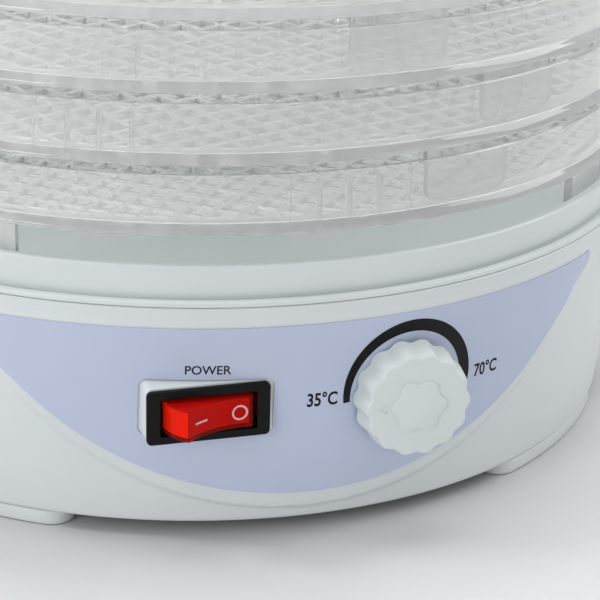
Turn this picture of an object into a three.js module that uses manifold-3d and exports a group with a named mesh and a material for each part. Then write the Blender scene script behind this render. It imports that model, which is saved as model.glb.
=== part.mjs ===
// Food dehydrator: round base with fan, heater and controls, five stacking trays and a lid.
// Millimetres, +Z up. The origin is on the table under the middle, the control panel faces -Y.
import * as THREE from 'three';
import * as BufferGeometryUtils from 'three/addons/utils/BufferGeometryUtils.js';
import Module from 'manifold-3d';

const wasm = await Module();
wasm.setup();

// ---------------------------------------------------------------- driving dimensions
const BASE_SEGMENTS = 44;
const TRAY_SEGMENTS = 32;
const FIT_GAP = 0.3;                    // between pieces that touch

const FOOT_HEIGHT = 4;
const FOOT_WIDTH = 12;
const FOOT_SPAN = 32;                   // degrees of the circle that one foot covers
const FOOT_INSET = 0.3;

const CASING_TOP_RADIUS = 127.2;        // outer radius at the seam
const CASING_TAPER = 5.7;               // how far the lower edge stands in from the seam
const CASING_LABEL_STEP = 0.3;          // how far the wall at the label's top stands in
const CASING_HEIGHT = 60.3;             // lower edge to seam
const CASING_WALL = 2.4;

const FASCIA_BOTTOM = 6.8;              // lowest point of the raised front, above the table
const FASCIA_CURVE = 107;               // radius of its lower outline on the unrolled wall
const FASCIA_TOP_DROP = 4.1;            // seam down to the top of the raised front
const FASCIA_CORNER = 1;
const FASCIA_PROUD_LOW = 1.2;
const FASCIA_PROUD_HIGH = 0.3;
const LABEL_BOTTOM = 11.8;
const LABEL_CURVE = 113;
const LABEL_TOP_DROP = 5.2;             // seam down to the top of the label
const LABEL_THICKNESS = 0.4;
const LABEL_CORNER = 3;                 // rounding of the two tips
const LABEL_GAP = 0.1;

const COVER_THICKNESS = 2.2;
const INLET_SLOTS = 14;
const INLET_INNER = 18;
const INLET_OUTER = 46;
const INLET_WIDTH = 3.4;

const SKIRT_DEPTH = 4;                  // locating skirt of the deck inside the casing
const BEAD_HEIGHT = 1.4;
const BEAD_STEP = 2.6;                  // how far the band stands in from the bead
const BAND_LEAN = 1.0;
const BAND_HEIGHT = 8.5;
const RIM_WIDTH = 2.4;
const CHANNEL_DEPTH = 7.7;              // rim of the base down to the deck
const DECK_THICKNESS = 2.2;
const THROAT_RADIUS = 35.5;             // warm air outlet in the middle of the deck
const THROAT_WALL = 2.4;
const THROAT_HEIGHT = 11.2;             // above the deck

const GRILLE_THICKNESS = 2;
const GRILLE_SLOTS = 12;
const GRILLE_SLOT_WIDTH = 3.2;
const GRILLE_HUB = 9;
const GRILLE_RING = 3;

const POST_RADIUS = 4.5;
const POST_INSET = 35.2;                // posts' middles inside the casing's top radius
const SCREW_RADIUS = 1.5;
const SCREW_CLEARANCE = 0.2;
const SCREW_HEAD_RADIUS = 3.4;
const SCREW_HEAD_HEIGHT = 1.8;
const SCREW_LENGTH = 14;

const TRAY_COUNT = 5;
const TRAY_PITCH = 17.45;
const TRAY_STEP = 0.5;                  // tray rims stand in from the casing's top radius
const TRAY_LIP_HEIGHT = 2.4;
const TRAY_LIP_STEP = 1.5;
const TRAY_WALL = 1.6;
const TRAY_WALL_LEAN = 0.3;
const TRAY_WALL_TOP = 14.65;
const TRAY_FLOOR = 1.8;
const TRAY_FLOOR_RING = 6.6;            // width of the closed ring inside the wall
const TRAY_COLLAR_RADIUS = 28;          // inside of the middle collar
const TRAY_COLLAR_WALL = 1.8;
const TRAY_COLLAR_HEIGHT = 4.4;
const TRAY_BAR_WIDTH = 2;
const TRAY_BAR_PITCH = 22;
const TAB_SPAN = 12.4;                  // degrees
const TAB_INSET = 7.5;                  // middle of the hanging tab inside the rim
const TAB_THICKNESS = 2;
const TAB_GAP = 0.1;
const TRAY_TURNS = [3.8, -24.4, -16.5, -35, 12];   // degrees, each tray is set down as it comes
const LID_TURN = 0;
const LID_DOME_HEIGHT = 14.5;
const LID_SHOULDER = 8.5;
const LID_FALL = 0.6;                   // from the hub out to the vents' end
const LID_HUB_RADIUS = 13;
const LID_HUB_HEIGHT = 3;
const LID_VENTS = 8;
const LID_VENT_INNER = 20;
const LID_VENT_OUTER = 38;
const LID_VENT_WIDTH = 3.6;

const SWITCH_X = -27.2;
const CONTROL_Z = 37.7;
const BEZEL_FLANGE = 1.5;               // bezel beyond the body at each side
const BEZEL_LIP = 1;                    // bezel beyond the body above and below
const BEZEL_THICKNESS = 1.6;
const BEZEL_CORNER = 1.2;
const BEZEL_INSET = 0.2;                // bezel's face behind the casing's top radius
const SWITCH_SIDE_WALL = 1.8;
const SWITCH_EDGE_WALL = 1.05;
const SWITCH_BODY_DEPTH = 22;
const SWITCH_OPENING_HEIGHT = 9.9;
const SWITCH_OPENING_DEPTH = 10.4;
const ROCKER_END_GAP = 0.85;            // rocker's round ends to the opening
const ROCKER_EDGE_GAP = 0.85;           // and its upper and lower faces
const ROCKER_PIVOT_DEPTH = 3;           // behind the bezel's face
const ROCKER_CORNER = 9.1;              // half the length of the pressed face
const ROCKER_CORNER_PROUD = 6.8;        // corner in front of the pivot
const ROCKER_DISH = 1.8;                // hollow of the pressed face
const ROCKER_TILT = 18;                 // degrees each way
const ROCKER_BACK = 2.8;
const BOSS_MARGIN = 0.45;
const BOSS_SHIFT = 0.6;                 // boss's middle to the right of the switch's
const BOSS_DEPTH = 12;
const BOSS_CORNER = 1.6;

const KNOB_X = 24.4;
const KNOB_Z = 37.6;
const KNOB_PROUD = 6.8;                 // knob's face in front of the casing's top radius
const KNOB_HEIGHT = 7.9;
const KNOB_BACK_RADIUS = 14.65;
const KNOB_TAPER = 0.85;
const KNOB_SCALLOPS = 14;
const KNOB_SCALLOP_DEPTH = 0.75;
const KNOB_SHELL = 2.2;
const KNOB_HUB_RADIUS = 5;
const KNOB_STAR_RADIUS = 7.3;
const KNOB_STAR_RAISE = 0.6;
const SHAFT_RADIUS = 3;
const SHAFT_CLEARANCE = 0.1;
const BUSHING_RADIUS = 4.9;
const NUT_RADIUS = 7.6;
const NUT_THICKNESS = 2;
const THERMOSTAT_SIZE = 24;
const THERMOSTAT_DEPTH = 14;
const THERMOSTAT_INSET = 12.7;          // its front behind the casing's top radius
const KNOB_BOSS_RADIUS = 8.5;

const GLAND_Z = 20;
const GLAND_BORE = 3.6;
const GLAND_RADIUS = 6;
const GLAND_FLANGE = 8.5;
const GLAND_PROUD = 5.4;                // sleeve's end behind the casing's top radius
const GLAND_LIP = 2;                    // thickness of the flange outside
const GLAND_INNER_LIP = 4;              // thickness of the flange inside

const MOTOR_SIZE = 44;
const MOTOR_STACK = 14;
const ROTOR_RADIUS = 12;
const ROTOR_GAP = 0.5;
const AXLE_RADIUS = 1.6;
const AXLE_CLEARANCE = 0.1;
const STRAP_THICKNESS = 1.6;
const STRAP_WIDTH = 16;
const STRAP_CLEARANCE = 18;             // strap's screws outside the heat shield
const STRAP_HOLE = 5;
const BEARING_WIDTH = 12;
const BEARING_BOSS = 6;
const MOTOR_SLOT = 4;                   // slot in the core where the coil's limb starts
const MOTOR_LIMB = 7;
const MOTOR_COIL_DEPTH = 11;
const MOTOR_COIL_STEP = 2;              // coil beyond the core above and below
const SHAFT_TAIL = 6;                   // motor shaft below the core
const FAN_TIP_GAP = 2.3;                // blades to the heat shield
const FAN_HUB_RADIUS = 8;
const FAN_BLADES = 7;
const FAN_HEIGHT = 9;
const FAN_BLADE_THICKNESS = 1.4;
const FAN_PITCH = 35;                   // degrees
const FAN_TO_HEATER = 4;
const FAN_BELOW = 2;                    // fan's lower edge above the shield's
const SHIELD_STEP = 1.5;                // shield inside the throat
const SHIELD_WALL = 0.7;
const STRAP_TO_SHIELD = 6.5;
const HEATER_HEIGHT = 12;
const HEATER_TO_GRILLE = 7;
const COIL_RING_RADIUS = 22;
const COIL_RADIUS = 2.2;
const MICA_THICKNESS = 1;
const FUSE_RADIUS = 2;
const FUSE_LENGTH = 12;
const BLADE_THICKNESS = 0.8;
const BLADE_HEIGHT = 4.8;
const BLADE_LENGTH = 7;
const BLADE_PITCH = 9;
const TERMINAL_BLOCK = [26, 12, 12];
const TERMINAL_PITCH = 8;
const TERMINAL_BORE = 1.9;
const LEAD_RADIUS = 1.2;

// ---------------------------------------------------------------- values that follow
const CASING_BOTTOM_Z = FOOT_HEIGHT;
const CASING_FOOT_RADIUS = CASING_TOP_RADIUS - CASING_TAPER;
const CASING_LABEL_RADIUS = CASING_TOP_RADIUS - CASING_LABEL_STEP;
const SEAM_Z = CASING_BOTTOM_Z + CASING_HEIGHT;
const FASCIA_TOP = SEAM_Z - FASCIA_TOP_DROP;
const LABEL_TOP = SEAM_Z - LABEL_TOP_DROP;
const DECK_BASE_Z = SEAM_Z + FIT_GAP;
const BAND_Z = DECK_BASE_Z + BEAD_HEIGHT;
const RIM_Z = BAND_Z + BAND_HEIGHT;
const DECK_Z = RIM_Z - CHANNEL_DEPTH;
const BAND_RADIUS = CASING_TOP_RADIUS - BEAD_STEP;
const COVER_Z = CASING_BOTTOM_Z + TAB_GAP;
const COVER_RADIUS = CASING_FOOT_RADIUS - CASING_WALL - FIT_GAP;
const POST_CIRCLE = CASING_TOP_RADIUS - POST_INSET;

const TRAY_RADIUS = CASING_TOP_RADIUS - TRAY_STEP;
const TAB_RADIUS = TRAY_RADIUS - TAB_INSET;
const TAB_LENGTH = TRAY_PITCH - TRAY_FLOOR - TAB_GAP;
const FIRST_TRAY_Z = DECK_Z + TRAY_PITCH - TRAY_FLOOR;
const LID_Z = FIRST_TRAY_Z + TRAY_COUNT * TRAY_PITCH;

const BEZEL_FACE = CASING_TOP_RADIUS - BEZEL_INSET;
const ROCKER_END = Math.hypot(ROCKER_CORNER, ROCKER_CORNER_PROUD);
const SWITCH_OPENING_WIDTH = 2 * (ROCKER_END + ROCKER_END_GAP);
const SWITCH_BODY_WIDTH = SWITCH_OPENING_WIDTH + 2 * SWITCH_SIDE_WALL;
const SWITCH_BODY_HEIGHT = SWITCH_OPENING_HEIGHT + 2 * SWITCH_EDGE_WALL;
const BEZEL_WIDTH = SWITCH_BODY_WIDTH + 2 * BEZEL_FLANGE;
const BEZEL_HEIGHT = SWITCH_BODY_HEIGHT + 2 * BEZEL_LIP;
const BOSS_X = SWITCH_X + BOSS_SHIFT;
const BOSS_FACE = BEZEL_FACE - BEZEL_THICKNESS - TAB_GAP;
const KNOB_FACE = CASING_TOP_RADIUS + KNOB_PROUD;
const KNOB_FRONT_RADIUS = KNOB_BACK_RADIUS - KNOB_TAPER;
const KNOB_BACK = KNOB_FACE - KNOB_HEIGHT;
const KNOB_BOSS_FACE = KNOB_BACK - FIT_GAP;
const THERMOSTAT_FRONT = CASING_TOP_RADIUS - THERMOSTAT_INSET;
const GLAND_REACH = CASING_TOP_RADIUS + GLAND_PROUD;

const GRILLE_Z = DECK_Z + THROAT_HEIGHT - 3;
const HEATER_Z = GRILLE_Z - HEATER_TO_GRILLE - HEATER_HEIGHT;
const FAN_Z = HEATER_Z - FAN_TO_HEATER - FAN_HEIGHT;
const SHIELD_RADIUS = THROAT_RADIUS - SHIELD_STEP;
const SHIELD_BOTTOM = FAN_Z - FAN_BELOW;
const FAN_RADIUS = SHIELD_RADIUS - SHIELD_WALL - FAN_TIP_GAP;
const STRAP_REACH = SHIELD_RADIUS + STRAP_CLEARANCE;
const STRAP_Z = SHIELD_BOTTOM - STRAP_TO_SHIELD;
const MOTOR_TOP = STRAP_Z - 2 * STRAP_THICKNESS - FIT_GAP;
const MOTOR_BOTTOM = MOTOR_TOP - MOTOR_STACK;

const IN_FRONT = CASING_TOP_RADIUS + 13;        // cutters along Y start clear of the front
const INSIDE = CASING_TOP_RADIUS - 67;          // and end well inside the wall

// ---------------------------------------------------------------- finishes
const finish = (color, roughness, metalness = 0, opacity = 1) => () =>
  new THREE.MeshStandardMaterial({ color, roughness, metalness, opacity, transparent: opacity < 1 });
const whitePlastic = finish(0xd6dbda, 0.35);
const greyPlastic = finish(0x9aa3a3, 0.5);
const blackPlastic = finish(0x18191a, 0.35);
const clearPlastic = finish(0xe4e8e8, 0.1, 0, 0.4);
const redPlastic = finish(0xc40a08, 0.15, 0, 0.85);
const labelFilm = finish(0xbcc6e2, 0.4);
const steel = finish(0xb4b6b8, 0.35, 1);
const brass = finish(0xc8a45a, 0.3, 1);
const copper = finish(0xb56a3c, 0.4, 1);
const mica = finish(0xb8a888, 0.7);
const rubber = finish(0x2a2b2c, 0.8);
const redWire = finish(0xa02020, 0.5);
const blueWire = finish(0x2040a0, 0.5);

// ---------------------------------------------------------------- solids and booleans
const rad = THREE.MathUtils.degToRad;

// A closed solid for joining and cutting, with its faces turned outwards.
function solid(geometry) {
  let g = geometry.clone();
  g.deleteAttribute('normal');
  g.deleteAttribute('uv');
  g = BufferGeometryUtils.mergeVertices(g, 1e-4);
  const p = g.attributes.position.array;
  const faces = [];
  let volume = 0;
  for (let i = 0; i < g.index.count; i += 3) {
    const [a, b, c] = [0, 1, 2].map((k) => g.index.array[i + k]);
    if (a === b || b === c || c === a) continue;
    faces.push(a, b, c);
    const [A, B, C] = [a, b, c].map((k) => new THREE.Vector3(p[3 * k], p[3 * k + 1], p[3 * k + 2]));
    volume += A.dot(B.cross(C));
  }
  if (volume < 0) faces.reverse();
  const vertProperties = new Float32Array(p);
  const mesh = new wasm.Mesh({ numProp: 3, vertProperties, triVerts: new Uint32Array(faces) });
  mesh.merge();
  return new wasm.Manifold(mesh);
}

function toGeometry(manifold) {
  const mesh = manifold.getMesh();
  const geometry = new THREE.BufferGeometry();
  geometry.setAttribute('position', new THREE.BufferAttribute(new Float32Array(mesh.vertProperties), 3));
  geometry.setIndex(new THREE.BufferAttribute(new Uint32Array(mesh.triVerts), 1));
  geometry.computeVertexNormals();
  return geometry;
}

const join = (...pieces) => pieces.reduce((whole, piece) => whole.add(piece));
const cut = (whole, ...pieces) => pieces.reduce((rest, piece) => rest.subtract(piece), whole);

// A closed ring or a body on the axis, turned about Z from [radius, height] points.
function turned(points, segments = BASE_SEGMENTS) {
  const first = points[0];
  const onAxis = first[0] === 0 && points.at(-1)[0] === 0;
  const loop = onAxis ? points : [...points, first];
  const profile = loop.map(([r, z]) => new THREE.Vector2(r, z));
  return solid(new THREE.LatheGeometry(profile, segments).rotateX(Math.PI / 2));
}

const tube = (inner, outer, z0, z1, segments = BASE_SEGMENTS) =>
  turned([[inner, z0], [outer, z0], [outer, z1], [inner, z1]], segments);

// Box from its middle in x and y and its lowest z.
const block = (sx, sy, sz, x = 0, y = 0, z = 0) =>
  solid(new THREE.BoxGeometry(sx, sy, sz).translate(x, y, z + sz / 2));

// Upright round bar from its lowest z.
const bar = (radius, height, x = 0, y = 0, z = 0, segments = 24) =>
  solid(new THREE.CylinderGeometry(radius, radius, height, segments).rotateX(Math.PI / 2)
    .translate(x, y, z + height / 2));

// Round bar along Y, from front to back, both measured in front of the middle.
const frontBar = (radius, front, back, x, z, segments = 20, backRadius = radius) =>
  solid(new THREE.CylinderGeometry(backRadius, radius, front - back, segments)
    .translate(x, -(front + back) / 2, z));

// An outline in x and z, extruded along Y from front to back.
function frontPrism(shape, front, back) {
  const options = { depth: front - back, bevelEnabled: false, curveSegments: 6 };
  const geometry = new THREE.ExtrudeGeometry(shape, options);
  return solid(geometry.rotateX(Math.PI / 2).translate(0, -back, 0));
}

function upPrism(shape, z0, z1, curveSegments = 12) {
  return solid(new THREE.ExtrudeGeometry(shape, { depth: z1 - z0, bevelEnabled: false, curveSegments })
    .translate(0, 0, z0));
}

function roundedRectangle(width, height, corner, x, z) {
  const shape = new THREE.Shape();
  const [hx, hz] = [width / 2 - corner, height / 2 - corner];
  shape.absarc(x + hx, z + hz, corner, 0, rad(90), false);
  shape.absarc(x - hx, z + hz, corner, rad(90), rad(180), false);
  shape.absarc(x - hx, z - hz, corner, rad(180), rad(270), false);
  shape.absarc(x + hx, z - hz, corner, rad(270), rad(360), false);
  shape.closePath();
  return shape;
}

// Part of a ring with round ends, lying flat, its middle at azimuth `middle` degrees.
function arcSlot(radius, width, span, middle) {
  const half = rad(span / 2) - width / 2 / radius;
  const [a0, a1] = [rad(middle) - half, rad(middle) + half];
  const end = (a) => [radius * Math.cos(a), radius * Math.sin(a)];
  const shape = new THREE.Shape();
  shape.absarc(0, 0, radius + width / 2, a0, a1, false);
  shape.absarc(...end(a1), width / 2, a1, a1 + Math.PI, false);
  shape.absarc(0, 0, radius - width / 2, a1, a0, true);
  shape.absarc(...end(a0), width / 2, a0 + Math.PI, a0 + 2 * Math.PI, false);
  shape.closePath();
  return shape;
}

// Slots with round ends that point away from the axis, as cutters from z0 to z1.
function radialSlots(count, inner, outer, width, z0, z1) {
  const shape = new THREE.Shape();
  shape.absarc(outer - width / 2, 0, width / 2, -Math.PI / 2, Math.PI / 2, false);
  shape.absarc(inner + width / 2, 0, width / 2, Math.PI / 2, 1.5 * Math.PI, false);
  shape.closePath();
  const one = upPrism(shape, z0, z1, 2);
  return Array.from({ length: count }, (_, i) => one.rotate([0, 0, (360 * i) / count]));
}

// ---------------------------------------------------------------- the scene
const dehydrator = new THREE.Group();

function place(name, manifold, material, parent = dehydrator) {
  const mesh = new THREE.Mesh(toGeometry(manifold), material());
  mesh.name = name;
  parent.add(mesh);
  return mesh;
}

// Outer radius of the casing wall at a height above the table.
function casingRadius(z) {
  const t = (z - CASING_BOTTOM_Z) / (LABEL_TOP - CASING_BOTTOM_Z);
  if (t <= 1) return CASING_FOOT_RADIUS + (CASING_LABEL_RADIUS - CASING_FOOT_RADIUS) * t;
  const u = (z - LABEL_TOP) / (SEAM_Z - LABEL_TOP);
  return CASING_LABEL_RADIUS + (CASING_TOP_RADIUS - CASING_LABEL_RADIUS) * u;
}

function fasciaRadius(z) {
  const t = (z - FASCIA_BOTTOM) / (FASCIA_TOP - FASCIA_BOTTOM);
  return casingRadius(z) + FASCIA_PROUD_LOW + (FASCIA_PROUD_HIGH - FASCIA_PROUD_LOW) * t;
}

// Crescent outline on the front, its lower edge an arc on the unrolled wall, seen from -Y.
function crescent(bottom, top, curve, corner) {
  const steps = 28;
  const tip = Math.sqrt(curve ** 2 - (curve - (top - bottom)) ** 2);
  const edge = [];
  for (let i = -steps / 2; i <= steps / 2; i += 1) {
    const s = (tip * i) / (steps / 2);
    const z = bottom + curve - Math.sqrt(curve ** 2 - s ** 2);
    const atTip = Math.abs(i) === steps / 2;
    const x = casingRadius(z) * Math.sin(s / casingRadius(z));
    edge.push([x, atTip ? top - corner : z]);
  }
  const shape = new THREE.Shape();
  shape.moveTo(...edge[0]);
  edge.slice(1).forEach((point) => shape.lineTo(...point));
  shape.lineTo(edge.at(-1)[0] - corner / 2, top);
  shape.lineTo(edge[0][0] + corner / 2, top);
  shape.closePath();
  return shape;
}

// ---------------------------------------------------------------- base shells
function baseCasing() {
  const levels = [CASING_BOTTOM_Z, LABEL_TOP, SEAM_Z];
  const outer = levels.map((z) => [casingRadius(z), z]);
  const inner = [...levels].reverse().map((z) => [casingRadius(z) - CASING_WALL, z]);
  const wall = turned([...outer, ...inner]);
  const proud = [FASCIA_BOTTOM - 2, FASCIA_TOP + 2];
  const skin = turned([
    ...proud.map((z) => [fasciaRadius(z), z]),
    ...[...proud].reverse().map((z) => [casingRadius(z) - CASING_WALL / 2, z]),
  ]);
  const outline = crescent(FASCIA_BOTTOM, FASCIA_TOP, FASCIA_CURVE, FASCIA_CORNER);
  const fascia = skin.intersect(frontPrism(outline, IN_FRONT, INSIDE));
  const switchBoss = frontPrism(
    roundedRectangle(BEZEL_WIDTH + 2 * BOSS_MARGIN, BEZEL_HEIGHT + 2 * BOSS_MARGIN, BOSS_CORNER, BOSS_X,
      CONTROL_Z),
    BOSS_FACE, BOSS_FACE - BOSS_DEPTH);
  const knobBoss = frontBar(KNOB_BOSS_RADIUS, KNOB_BOSS_FACE, THERMOSTAT_FRONT + FIT_GAP, KNOB_X, KNOB_Z);
  const switchHole = block(SWITCH_BODY_WIDTH + 2 * FIT_GAP, 2 * SWITCH_BODY_DEPTH,
    SWITCH_BODY_HEIGHT + 2 * FIT_GAP, SWITCH_X, -BEZEL_FACE, CONTROL_Z - SWITCH_BODY_HEIGHT / 2 - FIT_GAP);
  const knobHole = frontBar(BUSHING_RADIUS + FIT_GAP, IN_FRONT, INSIDE, KNOB_X, KNOB_Z);
  const glandHole = frontBar(GLAND_RADIUS + FIT_GAP, -INSIDE, -IN_FRONT, 0, GLAND_Z);
  return cut(join(wall, fascia, switchBoss, knobBoss), switchHole, knobHole, glandHole);
}

function fasciaLabel() {
  const levels = [LABEL_BOTTOM - 2, LABEL_TOP + 2];
  const skin = turned([
    ...levels.map((z) => [fasciaRadius(z) + LABEL_GAP + LABEL_THICKNESS, z]),
    ...[...levels].reverse().map((z) => [fasciaRadius(z) + LABEL_GAP, z]),
  ]);
  const outline = crescent(LABEL_BOTTOM, LABEL_TOP, LABEL_CURVE, LABEL_CORNER);
  const film = skin.intersect(frontPrism(outline, IN_FRONT, INSIDE));
  const margin = 2 * (BOSS_MARGIN + FIT_GAP);
  const window = roundedRectangle(BEZEL_WIDTH + margin, BEZEL_HEIGHT + margin, BOSS_CORNER + FIT_GAP,
    BOSS_X, CONTROL_Z);
  return cut(film, frontPrism(window, IN_FRONT, INSIDE),
    frontBar(KNOB_BOSS_RADIUS + FIT_GAP, IN_FRONT, INSIDE, KNOB_X, KNOB_Z));
}

const postPlaces = [45, 135, 225, 315].map(rad).map((a) => [POST_CIRCLE * Math.cos(a), POST_CIRCLE * Math.sin(a)]);
const strapPlaces = [[STRAP_REACH, 0], [-STRAP_REACH, 0]];
const postFoot = COVER_Z + COVER_THICKNESS + TAB_GAP;
const strapPostFoot = STRAP_Z + STRAP_THICKNESS + TAB_GAP;

function baseTopCover() {
  const skirt = casingRadius(SEAM_Z - SKIRT_DEPTH) - CASING_WALL - FIT_GAP;
  const throat = THROAT_RADIUS + THROAT_WALL;
  const shell = turned([
    [skirt - 2, SEAM_Z - SKIRT_DEPTH], [skirt, SEAM_Z - SKIRT_DEPTH], [skirt, DECK_BASE_Z],
    [CASING_TOP_RADIUS, DECK_BASE_Z], [CASING_TOP_RADIUS, BAND_Z - 0.6], [CASING_TOP_RADIUS - 0.6, BAND_Z],
    [BAND_RADIUS, BAND_Z], [BAND_RADIUS + BAND_LEAN, RIM_Z - 0.5], [BAND_RADIUS + BAND_LEAN - 0.5, RIM_Z],
    [BAND_RADIUS + BAND_LEAN - RIM_WIDTH, RIM_Z], [BAND_RADIUS + BAND_LEAN - RIM_WIDTH - 0.7, DECK_Z],
    [throat + 8, DECK_Z], [throat, DECK_Z + 2], [throat, DECK_Z + THROAT_HEIGHT],
    [THROAT_RADIUS, DECK_Z + THROAT_HEIGHT], [THROAT_RADIUS, DECK_Z - DECK_THICKNESS],
    [skirt - 2, DECK_Z - DECK_THICKNESS],
  ]);
  const deckUnder = DECK_Z - DECK_THICKNESS / 2;
  const post = (foot) => ([x, y]) => bar(POST_RADIUS, deckUnder - foot, x, y, foot, 12);
  const bore = (foot) => ([x, y]) => bar(SCREW_RADIUS + SCREW_CLEARANCE, SCREW_LENGTH + 2, x, y, foot - 1, 8);
  const posts = [...postPlaces.map(post(postFoot)), ...strapPlaces.map(post(strapPostFoot))];
  const bores = [...postPlaces.map(bore(postFoot)), ...strapPlaces.map(bore(strapPostFoot))];
  return cut(join(shell, ...posts), ...bores);
}

function bottomCover() {
  const plate = turned([[0, COVER_Z], [COVER_RADIUS, COVER_Z], [COVER_RADIUS, COVER_Z + COVER_THICKNESS],
    [0, COVER_Z + COVER_THICKNESS]]);
  const slots = radialSlots(INLET_SLOTS, INLET_INNER, INLET_OUTER, INLET_WIDTH, 0, 12);
  const holes = postPlaces.map(([x, y]) => bar(SCREW_RADIUS + SCREW_CLEARANCE, 12, x, y, 0, 8));
  return cut(plate, ...slots, ...holes);
}

const foot = (middle) => upPrism(
  arcSlot(CASING_FOOT_RADIUS - FOOT_INSET - FOOT_WIDTH / 2, FOOT_WIDTH, FOOT_SPAN, middle),
  0, FOOT_HEIGHT - TAB_GAP, 5);

// Screw driven upwards: the head's top lies at z, its shank runs up from there.
const screw = (x, y, z) => join(
  bar(SCREW_HEAD_RADIUS, SCREW_HEAD_HEIGHT, x, y, z - SCREW_HEAD_HEIGHT, 12),
  bar(SCREW_RADIUS, SCREW_LENGTH, x, y, z - 0.5, 8));

place('base_casing', baseCasing(), whitePlastic);
place('fascia_label', fasciaLabel(), labelFilm);
place('base_top_cover', baseTopCover(), whitePlastic);
place('bottom_cover', bottomCover(), greyPlastic);
const corners = { front_left: 225, front_right: 315, rear_right: 45, rear_left: 135 };
Object.entries(corners).forEach(([name, angle]) => place(`foot_${name}`, foot(angle), whitePlastic));
postPlaces.forEach(([x, y], i) => place(`base_screw_${i + 1}`, screw(x, y, COVER_Z - TAB_GAP), steel));

// ---------------------------------------------------------------- air outlet and heater
const grilleRadius = THROAT_RADIUS - FIT_GAP;
const grilleTop = GRILLE_Z + GRILLE_THICKNESS;
const grilleDisc = turned([[0, GRILLE_Z], [grilleRadius, GRILLE_Z], [grilleRadius, grilleTop], [0, grilleTop]],
  TRAY_SEGMENTS);
const grilleSlots = radialSlots(GRILLE_SLOTS, GRILLE_HUB, grilleRadius - GRILLE_RING, GRILLE_SLOT_WIDTH,
  GRILLE_Z - 2, grilleTop + 2);
const grille = cut(grilleDisc, ...grilleSlots);
place('outlet_grille', grille, whitePlastic);

const shieldTop = GRILLE_Z - FIT_GAP;
const shield = tube(SHIELD_RADIUS - SHIELD_WALL, SHIELD_RADIUS, SHIELD_BOTTOM, shieldTop, TRAY_SEGMENTS);
place('heat_shield', shield, steel);

const coilZ = HEATER_Z + HEATER_HEIGHT / 2;
const ringOf = (sectionRadius) => {
  const sides = 8;
  const section = Array.from({ length: sides }, (_, i) => {
    const a = (2 * Math.PI * i) / sides;
    return [COIL_RING_RADIUS + sectionRadius * Math.cos(a), coilZ + sectionRadius * Math.sin(a)];
  });
  return turned(section, 24);
};
const vane = 2 * (SHIELD_RADIUS - SHIELD_WALL - FIT_GAP) - 1;
const micaCross = cut(
  join(block(vane, MICA_THICKNESS, HEATER_HEIGHT, 0, 0, HEATER_Z),
    block(MICA_THICKNESS, vane, HEATER_HEIGHT, 0, 0, HEATER_Z)),
  ringOf(COIL_RADIUS + FIT_GAP));
place('heater_frame', micaCross, mica);
place('heater_coil', ringOf(COIL_RADIUS), steel);
const fuseY = -SHIELD_RADIUS - 2 * FUSE_RADIUS;
place('thermal_fuse', bar(FUSE_RADIUS, FUSE_LENGTH, 0, fuseY, SHIELD_BOTTOM + 5, 12), steel);

// ---------------------------------------------------------------- motor and fan
const axleHole = AXLE_RADIUS + AXLE_CLEARANCE;
const motorCore = cut(block(MOTOR_SIZE, MOTOR_SIZE, MOTOR_STACK, 0, 0, MOTOR_BOTTOM),
  bar(ROTOR_RADIUS + ROTOR_GAP, MOTOR_STACK + 2, 0, 0, MOTOR_BOTTOM - 1, 32),
  block(MOTOR_SIZE - 2 * MOTOR_LIMB, MOTOR_SLOT, MOTOR_STACK + 2, 0, MOTOR_SIZE / 2 - MOTOR_LIMB,
    MOTOR_BOTTOM - 1));
place('motor_core', motorCore, steel);
const coilMiddle = MOTOR_SIZE / 2 + MOTOR_COIL_DEPTH / 2 + FIT_GAP;
const winding = block(MOTOR_SIZE - 2 * MOTOR_LIMB - 2, MOTOR_COIL_DEPTH, MOTOR_STACK + 2 * MOTOR_COIL_STEP,
  0, coilMiddle, MOTOR_BOTTOM - MOTOR_COIL_STEP);
place('motor_coil', winding, copper);
const bearingPlate = (z) => cut(
  join(block(MOTOR_SIZE - 4, BEARING_WIDTH, STRAP_THICKNESS, 0, 0, z),
    bar(BEARING_BOSS, STRAP_THICKNESS, 0, 0, z, 24)),
  bar(axleHole, 10, 0, 0, z - 4, 24));
place('motor_lower_bearing', bearingPlate(MOTOR_BOTTOM - STRAP_THICKNESS - TAB_GAP), steel);
place('motor_upper_bearing', bearingPlate(MOTOR_TOP + TAB_GAP), steel);
const strap = cut(block(2 * STRAP_REACH + STRAP_WIDTH, STRAP_WIDTH, STRAP_THICKNESS, 0, 0, STRAP_Z),
  bar(STRAP_HOLE, 10, 0, 0, STRAP_Z - 4, 24),
  ...strapPlaces.map(([x, y]) => bar(SCREW_RADIUS + SCREW_CLEARANCE, 10, x, y, STRAP_Z - 4, 16)));
place('motor_strap', strap, steel);
strapPlaces.forEach(([x, y], i) => place(`strap_screw_${i + 1}`, screw(x, y, STRAP_Z - TAB_GAP), steel));

const shaftFoot = MOTOR_BOTTOM - SHAFT_TAIL;
place('motor_shaft', bar(AXLE_RADIUS, FAN_Z + FAN_HEIGHT - shaftFoot, 0, 0, shaftFoot, 20), steel);
place('motor_rotor', cut(bar(ROTOR_RADIUS, MOTOR_STACK - 1, 0, 0, MOTOR_BOTTOM + 0.5, 32),
  bar(axleHole, MOTOR_STACK + 2, 0, 0, MOTOR_BOTTOM - 1, 20)), steel);
const blade = block(FAN_RADIUS - FAN_HUB_RADIUS + 1, FAN_BLADE_THICKNESS, FAN_HEIGHT - 1,
  (FAN_RADIUS + FAN_HUB_RADIUS - 1) / 2, 0, -FAN_HEIGHT / 2)
  .rotate([FAN_PITCH, 0, 0])
  .translate([0, 0, FAN_Z + FAN_HEIGHT / 2]);
const blades = Array.from({ length: FAN_BLADES }, (_, i) => blade.rotate([0, 0, (360 * i) / FAN_BLADES]));
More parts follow.
